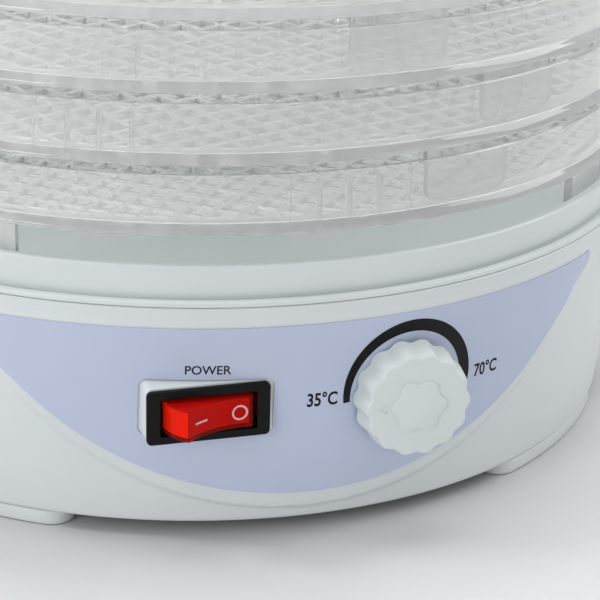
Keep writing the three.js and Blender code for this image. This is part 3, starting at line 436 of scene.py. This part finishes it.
def crescent_tool(name, low, top, curve, corner, front, back):
    """Thick crescent in the flat, as a cutter along Y. Its lower edge is an arc that hollows a
    little towards the blunt tips."""
    start()
    bpy.ops.mesh.primitive_cylinder_add(vertices=720, radius=curve * MM, depth=(front - back) * MM,
                                        location=(0, -(front + back) / 2 * MM, (low + curve) * MM),
                                        rotation=(math.pi / 2, 0, 0))
    tool = named(name)
    half = math.sqrt(curve ** 2 - (low + curve - top) ** 2)
    boolean(tool, front_block("above", 3 * curve, 2 * curve, 0, top + curve, front + 1, back - 1, 0.01))
    level = low + curve - math.sqrt(curve ** 2 - TIP_FROM ** 2)
    slope = TIP_FROM / math.sqrt(curve ** 2 - TIP_FROM ** 2)
    for v in tool.data.vertices:
        s, z = v.co.x / MM, v.co.z / MM
        beyond = (abs(s) - TIP_FROM) * (LABEL_TIP - TIP_FROM) / (half - TIP_FROM)
        if beyond > 0:
            v.co.x = math.copysign(TIP_FROM + beyond, s) * MM
            if z < top - 0.01:
                v.co.z = (level + slope * beyond - TIP_HOLLOW * beyond ** 2) * MM
    use(tool)
    edit()
    bpy.ops.mesh.select_all(action="DESELECT")
    bpy.ops.object.mode_set(mode="OBJECT")
    ends = LABEL_TIP - 0.02
    for edge in tool.data.edges:
        a, b = (tool.data.vertices[i].co / MM for i in edge.vertices)
        edge.select = abs(a.y - b.y) > 1e-3 and abs(a.x) > ends
    bpy.ops.object.mode_set(mode="EDIT")
    bpy.ops.mesh.bevel(offset=corner * MM, segments=6, affect="EDGES", clamp_overlap=False)
    bpy.ops.object.mode_set(mode="OBJECT")
    return tool


def flat_sheet(name, width, height, columns, rows, x, z):
    """Flat sheet of small cells that faces -Y, its middle at x and z; mm."""
    start()
    bpy.ops.mesh.primitive_grid_add(x_subdivisions=columns, y_subdivisions=rows, size=1,
                                    rotation=(math.pi / 2, 0, 0))
    sheet = named(name)
    edit()
    bpy.ops.transform.resize(value=(width * MM, 1, height * MM), center_override=(0, 0, 0))
    bpy.ops.transform.translate(value=(x * MM, 0, z * MM))
    bpy.ops.object.mode_set(mode="OBJECT")
    return sheet


def film(name, width, low, high, step, lift, thick):
    """Flat plate of small square cells, ready to be cut and wrapped."""
    plate = flat_sheet(name, width, high - low, round(width / step), round((high - low) / step),
                       0, (low + high) / 2)
    plate.data.transform(Matrix.Translation((0, -lift * MM, 0)))
    solid = plate.modifiers.new("thickness", "SOLIDIFY")
    solid.thickness = thick * MM
    solid.offset = 1.0
    bpy.ops.object.modifier_apply(modifier=solid.name)
    return plate


label = film("front_label", 212, 8, 62, 2.0, LABEL_LIFT, LABEL_THICK)
outline = crescent_tool("label_outline", LABEL_LOW, LABEL_TOP, LABEL_CURVE, TIP_CORNER, 4, -4)
boolean(label, outline, "INTERSECT")
window_reach = BEZEL_WIDTH / 2 + BOSS_MARGIN + WINDOW_GAP
window_left = arc_length(BOSS_X - window_reach, CONTROL_Z)
window_right = arc_length(BOSS_X + window_reach, CONTROL_Z)
window_height = BEZEL_HEIGHT + 2 * BOSS_MARGIN + 2 * WINDOW_GAP
boolean(label, front_block("window", window_right - window_left, window_height,
                           (window_left + window_right) / 2, CONTROL_Z, 4, -4, WINDOW_CORNER))
knob_s = arc_length(KNOB_X, KNOB_Z)
boolean(label, front_bar("shaft_window", SHAFT_WINDOW_RADIUS, knob_s, KNOB_Z, 4, -4))
wrap(label)
smooth(label, 40)
lavender = moulded("lavender_film", (0.53, 0.58, 0.735), 0.42, depth=8e-7, wave=2500.0, specular=0.4)
label.data.materials.append(lavender)
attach(label, "base")
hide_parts("fascia_label")

ink = moulded("black_ink", (0.004, 0.004, 0.0042), 0.45, depth=5e-7, wave=2500.0, specular=0.2)


def printed(piece):
    wrap(piece)
    piece.data.materials.append(ink)
    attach(piece, "base")


def letters(name, words, height, width, s, z, weight):
    """A printed word, its capitals that high and the whole that wide, centred at s and z; weight
    thickens its strokes, as a share of the font's size."""
    start()
    bpy.ops.object.text_add(location=(0, 0, 0))
    word = bpy.context.object
    word.data.body = words
    word.data.resolution_u = 4
    word.data.extrude = 0.01
    word.data.offset = weight
    bpy.ops.object.convert(target="MESH")
    word = named(name)
    xs = [v.co.x for v in word.data.vertices]
    ys = [v.co.y for v in word.data.vertices]
    for v in word.data.vertices:
        v.co = Vector(((v.co.x - (min(xs) + max(xs)) / 2) * width / (max(xs) - min(xs)) + s,
                       -(PRINT_LIFT + INK_THICK * (v.co.z > 0)),
                       (v.co.y - (min(ys) + max(ys)) / 2) * height / (max(ys) - min(ys)) + z)) * MM
    printed(word)


letters("print_power", "POWER", 2.4, 11.2, arc_length(-26.6, 48), 48.05, 0.011)
letters("print_35", "35°C", TEMPERATURE_HEIGHT, TEMPERATURE_WIDTH, arc_length(1.85, 38), 38.4,
        TEMPERATURE_WEIGHT)
letters("print_70", "70°C", TEMPERATURE_HEIGHT, TEMPERATURE_WIDTH, arc_length(48.2, 38), 38.25,
        TEMPERATURE_WEIGHT)

dial_s = arc_length(DIAL_X, DIAL_Z)
dial_band = flat_sheet("print_dial", 1, 1, 96, 3, 0, 0)
for v in dial_band.data.vertices:
    along, across = v.co.x / MM + 0.5, v.co.z / MM + 0.5
    angle = math.radians(ARC_FROM + (ARC_TO - ARC_FROM) * along)
    r = ARC_RADIUS - across * (ARC_THIN + ARC_SWELL * math.sin(0.72 * math.pi * max(along, 0.0)))
    v.co = Vector((dial_s + r * math.cos(angle), -(PRINT_LIFT + INK_THICK),
                   DIAL_Z + r * math.sin(angle))) * MM
printed(dial_band)

# ---------------------------------------------------------------- power switch
# A slim rocker switch snapped into the boss: black nylon frame, clear red rocker over a ribbed red
# core, which carries painted shade in its rib grooves and a painted glow. It is off at rest, its right end
# pressed in.
OPENING_WIDTH = 24.4
OPENING_HEIGHT = 9.9
OPENING_DEPTH = 10.4
BARREL_WIDTH = 28
BARREL_HEIGHT = 12
BARREL_DEPTH = 22
PIVOT_DEPTH = 3.0
ROCKER_END = 11.36
ROCKER_CORNER = 9.1
CORNER_PROUD = 6.8
ROCKER_HEIGHT = 8.2
DISH = 1.8
ROCKER_BACK = 2.8
CAP_WALL = 0.9
TILT = 18.0
MARK_LIFT = 0.03
DASH_LENGTH = 3.8
DASH_WIDTH = 0.52
DASH_X = -4.9
RING_RADIUS = 2.0
RING_INNER = 0.75              # share of the radius
RING_X = 6.0

bezel = front_block("switch_frame", BEZEL_WIDTH, BEZEL_HEIGHT, SWITCH_X, CONTROL_Z,
                    BEZEL_FACE, BEZEL_FACE - BEZEL_THICK, 1.3)
eased(bezel, 0.35)
barrel = front_block("switch_barrel", BARREL_WIDTH, BARREL_HEIGHT, SWITCH_X, CONTROL_Z,
                     BEZEL_FACE - 1, BEZEL_FACE - BARREL_DEPTH, 0.5)
boolean(bezel, barrel, "UNION")
boolean(bezel, front_block("switch_opening", OPENING_WIDTH, OPENING_HEIGHT, SWITCH_X, CONTROL_Z,
                           BEZEL_FACE + 2, BEZEL_FACE - OPENING_DEPTH, 0.25))
smooth(bezel, 30)
black = moulded("black_nylon", (0.0035, 0.0036, 0.0035), 0.45, depth=6e-6, wave=2200.0, specular=0.16)
bezel.data.materials.append(black)
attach(bezel, "base")
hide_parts("switch_body")


def rocker_body(name, shrink, height):
    """Rocker about its pivot at the origin: round ends, a dished face, a flat back; mm."""
    start()
    bpy.ops.mesh.primitive_cylinder_add(vertices=160, radius=(ROCKER_END - shrink) * MM, depth=height * MM)
    body = named(name)
    edit("FACE")
    bpy.ops.mesh.bisect(plane_co=(0, ROCKER_BACK * MM, 0), plane_no=(0, 1, 0), use_fill=True,
                        clear_outer=True)
    leave_edit()
    sag_radius = (ROCKER_CORNER ** 2 + DISH ** 2) / (2 * DISH)
    start()
    face = CORNER_PROUD - DISH - shrink
    bpy.ops.mesh.primitive_cylinder_add(vertices=720, radius=sag_radius * MM, depth=30 * MM,
                                        location=(0, -(face + sag_radius) * MM, 0))
    boolean(body, named("dish_tool"))
    return body


def seat_rocker(piece):
    """Tips a rocker piece to its rest and sets its pivot in the switch."""
    piece.data.transform(Matrix.Translation(Vector((SWITCH_X, -(BEZEL_FACE - PIVOT_DEPTH), CONTROL_Z)) * MM)
                         @ Matrix.Rotation(math.radians(TILT), 4, "Z"))
    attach(piece, "rocker")


rocker = rocker_body("rocker_cap", 0.0, ROCKER_HEIGHT)
eased(rocker, 0.3, 35)
smooth(rocker, 30)
red_clear, tree, shader = new_material("red_clear")
tint(tree, noise(tree, 60.0), (0.84, 0.030, 0.014), (0.90, 0.040, 0.018), shader.inputs["Base Color"])
spread(tree, noise(tree, 300.0), 0.06, 0.12, shader.inputs["Roughness"])
shader.inputs["Transmission Weight"].default_value = 0.9
shader.inputs["IOR"].default_value = 1.14
shader.inputs["Specular IOR Level"].default_value = 0.5
rocker.data.materials.append(red_clear)
seat_rocker(rocker)
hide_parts("power_rocker")

core = rocker_body("rocker_core", CAP_WALL, ROCKER_HEIGHT - 1.6)
smooth(core, 30)


def ribbed_red(name, direction, wave, dark, light, depth, painted_glow):
    """Red core plastic with fine ribs across one direction, painted shade in their grooves; the last argument
    is the strength of a painted glow.
    """
    material, tree, shader = new_material(name)
    ribs = tree.nodes.new("ShaderNodeTexWave")
    ribs.wave_type = "BANDS"
    ribs.bands_direction = direction
    ribs.inputs["Scale"].default_value = wave
    place = tree.nodes.new("ShaderNodeTexCoord")
    tree.links.new(place.outputs["Object"], ribs.inputs["Vector"])
    # The tone follows the ribs and is darker in their grooves: painted shade.
    tint(tree, ribs.outputs["Fac"], dark, light, shader.inputs["Base Color"])
    grain(tree, ribs.outputs["Fac"], shader, depth)
    spread(tree, noise(tree, 500.0), 0.3, 0.4, shader.inputs["Roughness"])
    # Painted glow: the core gives off light of its own, though the switch is off.
    shader.inputs["Emission Color"].default_value = (*light, 1)
    shader.inputs["Emission Strength"].default_value = painted_glow
    return material


# The face and the ends take copies of one ribbed red; the ends' copy is lighter and glows more, as painted
# light.
core.data.materials.append(ribbed_red(
    "red_core_face_painted_glow", "X", 620.0, (0.52, 0.006, 0.002), (0.74, 0.014, 0.005), 3e-5, 0.05))
core.data.materials.append(ribbed_red(
    "red_core_end_painted_glow", "Z", 560.0, (0.75, 0.02, 0.004), (1.0, 0.16, 0.02), 1e-4, 0.25))
# Faces turned to the sides take the ends' lighter copy, with its stronger painted glow.
for polygon in core.data.polygons:
    polygon.material_index = 1 if abs(polygon.normal.x) > 0.75 else 0
seat_rocker(core)

mark_ink = moulded("pink_ink", (0.80, 0.42, 0.44), 0.5, depth=5e-7, wave=2500.0)


def on_dish(piece):
    """Lays a flat mark, drawn in x and z, on the dished face."""
    sag_radius = (ROCKER_CORNER ** 2 + DISH ** 2) / (2 * DISH)
    for v in piece.data.vertices:
        x = v.co.x / MM
        dish = CORNER_PROUD - DISH + sag_radius - math.sqrt(sag_radius ** 2 - x ** 2)
        v.co.y = -(dish + MARK_LIFT) * MM
    piece.data.materials.append(mark_ink)
    seat_rocker(piece)


on_dish(flat_sheet("mark_on", DASH_LENGTH, DASH_WIDTH, 8, 2, DASH_X, 0))
start()
bpy.ops.mesh.primitive_circle_add(vertices=48, radius=RING_RADIUS * MM, location=(RING_X * MM, 0, 0),
                                  rotation=(math.pi / 2, 0, 0))
edit()
bpy.ops.mesh.extrude_edges_move()
bpy.ops.transform.resize(value=(RING_INNER, 1, RING_INNER), center_override=(RING_X * MM, 0, 0))
leave_edit()
on_dish(named("mark_off"))

# ---------------------------------------------------------------- temperature knob
# A white moulded knob pushed on the thermostat's shaft: scalloped skirt that narrows to the
# front, a six-lobed boss on its face and a small moulded arrow that points at the dial.
SCALLOPS = 14
SCALLOP_DEPTH = 0.9
FRONT_RADIUS = 13.8
BACK_RADIUS = 14.65
STAR_RADIUS = 7.15
STAR_DEPTH = 1.25
STAR_LOBES = 6
ARROW_RADIUS = 1.5
ARROW_X = -9.1
KNOB_WALL = 2.2


def lobed(name, radius, depth, lobes, per_lobe, base, levels):
    """Waved outline raised along +Z through [scale, height] levels, then capped; mm."""
    start()
    bpy.ops.mesh.primitive_circle_add(vertices=lobes * per_lobe, radius=radius * MM,
                                      location=(0, 0, base * MM), fill_type="NGON")
    ring = bpy.context.object
    for v in ring.data.vertices:
        a = math.atan2(v.co.y, v.co.x)
        k = 1 - depth / radius * (0.5 - 0.5 * math.cos(lobes * a)) ** 1.3
        v.co.x *= k
        v.co.y *= k
    edit()
    scale, height = 1.0, base
    for k, z in levels:
        bpy.ops.mesh.extrude_edges_move(TRANSFORM_OT_translate={"value": (0, 0, (z - height) * MM)})
        bpy.ops.transform.resize(value=(k / scale, k / scale, 1), center_override=(0, 0, z * MM))
        scale, height = k, z
    bpy.ops.mesh.edge_face_add()
    leave_edit()
    return named(name)


knob_length = KNOB_FACE - KNOB_BACK
front = FRONT_RADIUS / BACK_RADIUS
knob = lobed("knob", BACK_RADIUS, SCALLOP_DEPTH, SCALLOPS, 14, 0,
             [[1.0, 0.5], [(1 + front) / 2, knob_length / 2], [front, knob_length - 1.0],
              [front * 0.985, knob_length - 0.45], [front * 0.955, knob_length - 0.12],
              [front * 0.915, knob_length]])
star = lobed("star", STAR_RADIUS, STAR_DEPTH, STAR_LOBES, 16, knob_length - 0.5,
             [[1.0, knob_length + 0.25], [0.985, knob_length + 0.45], [0.93, knob_length + 0.6]])
boolean(knob, star, "UNION")
start()
bpy.ops.mesh.primitive_cylinder_add(vertices=3, radius=ARROW_RADIUS * MM, depth=1.0 * MM,
                                    location=(ARROW_X * MM, 0, (knob_length + 0.3) * MM),
                                    rotation=(0, 0, math.radians(90)))
boolean(knob, named("arrow"))
start()
bpy.ops.mesh.primitive_cylinder_add(vertices=96, radius=(BACK_RADIUS - KNOB_WALL) * MM,
                                    depth=(knob_length - KNOB_WALL) * 2 * MM, location=(0, 0, 0))
boolean(knob, named("knob_hollow"))
smooth(knob, 28)
knob.data.transform(Matrix.Translation(Vector((KNOB_X, -KNOB_BACK, KNOB_Z)) * MM)
                    @ Matrix.Rotation(math.radians(90), 4, "X"))
knob_white = moulded("knob_white", (0.69, 0.735, 0.725), 0.3, depth=1e-6, wave=1400.0)
knob.data.materials.append(knob_white)
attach(knob, "knob")
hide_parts("temperature_knob")

# ---------------------------------------------------------------- stacking trays
# Five equal clear polystyrene trays. Each has a round rim, a low wall stiffened by four groups of
# ribs, a floor of fine square holes, a collar for the warm air and four legs that hang inside the
# wall of the tray below. They are set down as they come, so each is turned differently.
FIRST_TRAY = 82.45
PITCH = 17.45
TURNS = [3.8, -24.4, -16.5, -35.0, 12.0]
TRAY_RIM = 126.7
LATTICE_PITCH = 7.0
LATTICE_CELLS = 36
LATTICE_BAR = 1.0              # half of a bar's width
FLOOR_THICK = 1.7
RIB_STEP = 3.6                 # degrees
RIB_WIDTH = 0.9
LEG_WIDTH = 25.8
LEG_RADIUS = 119.2
LEG_FOOT = -15.5
TRAY_SIDES = 384

tray = turned("tray", [
    [117.2, 0.1], [124.4, 0.1], [124.8, 0.0], [126.3, 0.0], [TRAY_RIM, 0.3], [TRAY_RIM, 1.0],
    [126.55, 1.3], [125.95, 2.1], [125.6, 2.4], [125.3, 2.75], [124.95, 14.3], [124.65, 14.65],
    [123.65, 14.65], [123.35, 14.3], [123.55, 2.6], [123.1, 1.8], [117.2, 1.8]], TRAY_SIDES)
collar = turned("tray_collar", [
    [28.0, 0.1], [29.6, 0.1], [29.6, 4.1], [29.3, 4.4], [28.3, 4.4], [28.0, 4.1]], 128)
start()
bpy.ops.mesh.primitive_grid_add(x_subdivisions=LATTICE_CELLS, y_subdivisions=LATTICE_CELLS,
                                size=LATTICE_CELLS * LATTICE_PITCH * MM, location=(0, 0, 0.2 * MM))
lattice = named("tray_lattice")
edit("FACE")
bpy.ops.mesh.inset(thickness=LATTICE_BAR * MM, use_individual=True)
bpy.ops.mesh.delete(type="FACE")
bpy.ops.object.mode_set(mode="OBJECT")
thickness = lattice.modifiers.new("thickness", "SOLIDIFY")
thickness.thickness = FLOOR_THICK * MM
thickness.offset = 1.0
bpy.ops.object.modifier_apply(modifier=thickness.name)
cover = turned("lattice_edge", [[29.0, -3], [117.6, -3], [117.6, 6], [29.0, 6]], 192)
boolean(lattice, cover, "INTERSECT")
lattice.data.transform(Matrix.Rotation(math.radians(45), 4, "Z"))


def curved_plate(name, width, low, high, radius, thick, corner, cuts, corners_at=()):
    """Plate bent round the Z axis in front of it; mm. The side corners at the given heights are
    rounded, or with no heights the upright edges of its ends."""
    plate = front_block(name, width, high - low, 0, (low + high) / 2,
                        radius + thick / 2, radius - thick / 2, 0.001)
    use(plate)
    edit()
    bpy.ops.mesh.remove_doubles(threshold=1e-5)
    bpy.ops.mesh.select_all(action="DESELECT")
    bpy.ops.object.mode_set(mode="OBJECT")
    for edge in plate.data.edges:
        a, b = (plate.data.vertices[i].co / MM for i in edge.vertices)
        if corners_at:
            edge.select = abs(a.y - b.y) > 0.01 and min(abs(a.z - z) for z in corners_at) < 0.1
        else:
            edge.select = abs(a.z - b.z) > 0.5 and abs(a.x) > width / 2 - 0.1
    bpy.ops.object.mode_set(mode="EDIT")
    bpy.ops.mesh.bevel(offset=corner * MM, segments=6, affect="EDGES")
    for i in range(1, cuts):
        bpy.ops.mesh.select_all(action="SELECT")
        bpy.ops.mesh.bisect(plane_co=((i / cuts - 0.5) * width * MM, 0, 0), plane_no=(1, 0, 0))
    bpy.ops.object.mode_set(mode="OBJECT")
    for v in plate.data.vertices:
        angle, r = v.co.x / (radius * MM), -v.co.y
        v.co.x, v.co.y = r * math.sin(angle), -r * math.cos(angle)
    return plate


def turned_copy(piece, name, angle):
    """A copy with its own mesh, turned about the Z axis by so many degrees."""
    copy = piece.copy()
    copy.data = piece.data.copy()
    copy.name = copy.data.name = name
    bpy.context.collection.objects.link(copy)
    copy.data.transform(Matrix.Rotation(math.radians(angle), 4, "Z"))
    return copy


def join_all(name, pieces):
    """One piece of several that are already clear of each other or belong together."""
    use(pieces[0])
    for piece in pieces:
        piece.select_set(True)
    bpy.ops.object.join()
    joined = bpy.context.object
    joined.name = joined.data.name = name
    return joined


def four_legs(name):
    """The four legs that hang from a tray or the lid, as one piece."""
    return join_all(name, [turned_copy(leg, "leg", 45 + group * 90) for group in range(4)])


leg = curved_plate("tray_leg", LEG_WIDTH, LEG_FOOT, 1.0, LEG_RADIUS, 2.0, 3.0, 12, [LEG_FOOT])
eased(leg, 0.3)
tall_rib = curved_plate("tall_rib", RIB_WIDTH, 1.4, 14.2, 123.2, 1.3, 0.35, 2, [14.2])
short_rib = curved_plate("short_rib", RIB_WIDTH, 1.4, 12.2, 122.4, 3.0, 0.3, 2, [12.2])
ribs = []
for group in range(4):
    for i in range(-2, 3):
        rib = tall_rib if abs(i) == 2 else short_rib
        ribs.append(turned_copy(rib, "rib", group * 90 + i * RIB_STEP))
bpy.data.objects.remove(tall_rib)
bpy.data.objects.remove(short_rib)
boolean(tray, join_all("ribs", ribs), "UNION")
boolean(tray, four_legs("legs"), "UNION")
boolean(lattice, collar, "UNION")
boolean(tray, lattice, "UNION")
smooth(tray, 30)


def clear_styrene(name, dark, light, clearness, passed):
    """Clear plastic with a faint cloud in it; passed is the tone of the light that falls through."""
    material, tree, shader = new_material(name)
    tint(tree, noise(tree, 30.0), dark, light, shader.inputs["Base Color"])
    spread(tree, noise(tree, 140.0), 0.015, 0.04, shader.inputs["Roughness"])
    grain(tree, noise(tree, 60.0, 2.0, 0.5), shader, 2e-6)
    shader.inputs["Transmission Weight"].default_value = clearness
    shader.inputs["IOR"].default_value = 1.48
    path = tree.nodes.new("ShaderNodeLightPath")
    let_through = tree.nodes.new("ShaderNodeBsdfTransparent")
    let_through.inputs["Color"].default_value = (*passed, 1)
    mix = tree.nodes.new("ShaderNodeMixShader")
    output = next(n for n in tree.nodes if n.type == "OUTPUT_MATERIAL")
    tree.links.new(path.outputs["Is Shadow Ray"], mix.inputs["Fac"])
    tree.links.new(shader.outputs["BSDF"], mix.inputs[1])
    tree.links.new(let_through.outputs["BSDF"], mix.inputs[2])
    tree.links.new(mix.outputs["Shader"], output.inputs["Surface"])
    return material


tray.data.materials.append(clear_styrene(
    "clear_styrene", (0.950, 0.948, 0.940), (0.975, 0.973, 0.966), 0.78, (0.80, 0.81, 0.81)))

for i, turn in enumerate(TURNS):
    one = turned_copy(tray, f"stack_tray_{i + 1}", turn)
    one.data.transform(Matrix.Translation((0, 0, (FIRST_TRAY + i * PITCH) * MM)))
    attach(one, f"tray_{i + 1}")
    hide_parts(f"tray_{i + 1}")
bpy.data.objects.remove(tray)

# ---------------------------------------------------------------- lid
# Styrene like the trays' with a darker colour, painted shade against the top lamp's glare: a low dome with
# a rim, four legs and eight vents round a flat hub, moulded in one piece and set loosely on the top tray.
LID = FIRST_TRAY + len(TURNS) * PITCH
LID_VENTS = 8
VENT_INNER, VENT_OUTER, VENT_WIDTH = 20, 38, 3.6


def fill_middle(piece, low, high):
    """Closes the small hole that a turned disc has on its axis."""
    boolean(piece, turned("middle", [[0.6, low], [0.6, high]], 24, caps=True), "UNION")


lid = turned("clear_lid", [
    [118.2, 0.4], [123.6, 0.2], [126.3, 0.0], [TRAY_RIM, 0.35], [TRAY_RIM, 2.0], [126.35, 2.4], [125.4, 2.5],
    [124.9, 2.9], [119.8, 8.2], [118.9, 8.6], [117.6, 8.85], [80.0, 11.9], [48.0, 13.9], [15.0, 14.5],
    [13.9, 14.9], [13.4, 17.0], [12.9, 17.45], [12.2, 17.5], [0.4, 17.5], [0.4, 13.0], [14.0, 12.95],
    [48.0, 12.3], [80.0, 10.3], [117.6, 7.25], [118.4, 7.0], [123.0, 2.2], [118.2, 2.0]], TRAY_SIDES)
fill_middle(lid, 13.0, 17.5)


def slot_tool(name, inner, outer, width, low, high):
    """Upright cutter for one radial slot with round ends, along +X; mm."""
    tool = front_block(name, outer - inner, width, (inner + outer) / 2, 0, -low, -high,
                       width / 2 - 0.01)
    tool.data.transform(Matrix.Rotation(math.radians(-90), 4, "X"))
    use(tool)
    edit()
    leave_edit()
    return tool


def radial_slots(piece, count, inner, outer, width, low, high):
    """Cuts a ring of radial slots with round ends through a piece."""
    first = slot_tool("slot_tool", inner, outer, width, low, high)
    tools = [turned_copy(first, "slot", 360 * i / count) for i in range(count)]
    bpy.data.objects.remove(first)
    boolean(piece, join_all("slots", tools))


radial_slots(lid, LID_VENTS, VENT_INNER, VENT_OUTER, VENT_WIDTH, 8, 20)
boolean(lid, four_legs("lid_legs"), "UNION")
bpy.data.objects.remove(leg)
smooth(lid, 30)
lid.data.transform(Matrix.Translation((0, 0, LID * MM)))
# The lid's darker base colour than the trays' is painted shade that holds down the top lamp's glare.
lid.data.materials.append(clear_styrene(
    "lid_styrene_painted_shade", (0.79, 0.80, 0.80), (0.82, 0.83, 0.83), 0.92, (0.80, 0.81, 0.81)))
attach(lid, "lid")
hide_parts("lid")

# ---------------------------------------------------------------- outlet grille
# White moulded grille over the heater, dropped in the throat; its slots let the warm air up.
GRILLE_SLOTS = 12
grille = turned("warm_air_grille", [
    [0.4, 75.0], [35.1, 75.0], [35.1, 76.6], [34.8, 77.0], [0.4, 77.0]], 128)
fill_middle(grille, 75.0, 77.0)
radial_slots(grille, GRILLE_SLOTS, 9, 32, 3.2, 73, 79)
smooth(grille, 30)
grille.data.materials.append(white)
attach(grille, "base")
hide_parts("outlet_grille")

# ---------------------------------------------------------------- bottom cover and feet
# A grey moulded plate closes the casing from below, and its slots let the fan draw air. Four
# long white feet under its rim hold the machine off the table.
INLET_SLOTS = 14
SCREW_HOLE_RADIUS = 1.7
FOOT_LENGTH = 64.3
FOOT_HEIGHT = 3.9
FOOT_RADIUS = 115.2
FOOT_WIDTH = 12
FOOT_END = 5.9

bottom = turned("bottom_plate", [[0.4, 4.1], [118.4, 4.1], [118.8, 4.5], [118.8, 6.3], [0.4, 6.3]], 192)
fill_middle(bottom, 4.1, 6.3)
radial_slots(bottom, INLET_SLOTS, 18, 46, 3.4, 2, 9)
for x, y in POSTS:
    start()
    bpy.ops.mesh.primitive_cylinder_add(vertices=24, radius=SCREW_HOLE_RADIUS * MM, depth=12 * MM,
                                        location=(x * MM, y * MM, 5 * MM))
    boolean(bottom, named("screw_hole"))
smooth(bottom, 30)
grey = moulded("grey_abs", (0.30, 0.33, 0.33), 0.5, depth=4e-6, wave=1100.0)
bottom.data.materials.append(grey)
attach(bottom, "base")
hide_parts("bottom_cover")

foot = curved_plate("foot", FOOT_LENGTH, 0, FOOT_HEIGHT, FOOT_RADIUS, FOOT_WIDTH, FOOT_END, 16)
eased(foot, 0.5)
smooth(foot, 30)
feet = {"front_left": -45, "front_right": 45, "rear_right": 135, "rear_left": -135}
for place_name, angle in feet.items():
    one = turned_copy(foot, f"long_foot_{place_name}", angle)
    one.data.materials.append(white)
    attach(one, "base")
    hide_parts(f"foot_{place_name}")
bpy.data.objects.remove(foot)

# ---------------------------------------------------------------- cord gland
# Black rubber bush clipped in the casing's back, where the mains lead goes in: a flange
# outside, one inside and a ringed sleeve.
gland = turned("rubber_gland", [
    [3.6, 113.5], [8.2, 113.5], [8.5, 113.8], [8.5, 118.9], [6.0, 118.9], [6.0, 124.4], [8.2, 124.4],
    [8.5, 124.7], [8.5, 126.0], [8.2, 126.3], [6.0, 126.4], [5.9, 127.4], [5.5, 127.6], [5.5, 128.2],
    [5.9, 128.4], [5.9, 129.4], [5.5, 129.6], [5.5, 130.2], [5.9, 130.4], [5.9, 132.2], [5.5, 132.6],
    [3.6, 132.6]], 64)
gland.data.transform(Matrix.Translation((0, 0, CORD_Z * MM)) @ Matrix.Rotation(math.radians(-90), 4, "X"))
smooth(gland, 30)
rubber = moulded("black_rubber", (0.022, 0.022, 0.023), 0.75, depth=8e-6, wave=1500.0, specular=0.25)
gland.data.materials.append(rubber)
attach(gland, "base")
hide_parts("cord_gland")

# ---------------------------------------------------------------- works inside the casing
# Motor, fan, heater, thermostat and wiring under the deck: pressed steel, copper windings, a
# mica cross, brass blades and insulated leads, fixed to the posts and the heat shield.


def metal(name, colour, roughness, scale, depth):
    """Bare metal with drifting tone and a drawn or cast skin."""
    material, tree, shader = new_material(name)
    tint(tree, noise(tree, 80.0), tuple(c * 0.85 for c in colour), colour, shader.inputs["Base Color"])
    spread(tree, noise(tree, 400.0), roughness * 0.8, roughness * 1.25, shader.inputs["Roughness"])
    grain(tree, noise(tree, scale, 5.0, 0.7), shader, depth)
    shader.inputs["Metallic"].default_value = 1.0
    return material


steel = metal("plated_steel", (0.56, 0.57, 0.58), 0.35, 1500.0, 3e-6)
copper = metal("enamelled_copper", (0.55, 0.20, 0.08), 0.35, 2500.0, 8e-6)
brass = metal("pressed_brass", (0.62, 0.45, 0.17), 0.3, 1500.0, 2e-6)
finishes = {
    steel: ["base_screw_1", "base_screw_2", "base_screw_3", "base_screw_4", "heat_shield", "heater_coil",
            "thermal_fuse", "motor_core", "motor_lower_bearing", "motor_upper_bearing", "motor_strap",
            "strap_screw_1", "strap_screw_2", "motor_shaft", "motor_rotor", "thermostat_shaft"],
    copper: ["motor_coil"],
    brass: ["switch_terminal_1", "switch_terminal_2", "switch_terminal_3", "thermostat_nut"],
    moulded("mica_sheet", (0.42, 0.36, 0.26), 0.6, depth=1.2e-5, wave=500.0): ["heater_frame"],
    moulded("red_pvc", (0.45, 0.02, 0.02), 0.45): ["lead_live", "lead_switched", "lead_heater"],
    moulded("blue_pvc", (0.02, 0.06, 0.40), 0.45): ["lead_neutral"],
    grey: ["terminal_block"],
    black: ["fan_impeller", "thermostat_body"],
}
for material, nodes in finishes.items():
    for node in nodes:
        part = bpy.data.objects[node]
        for slot in part.material_slots:
            slot.material = material
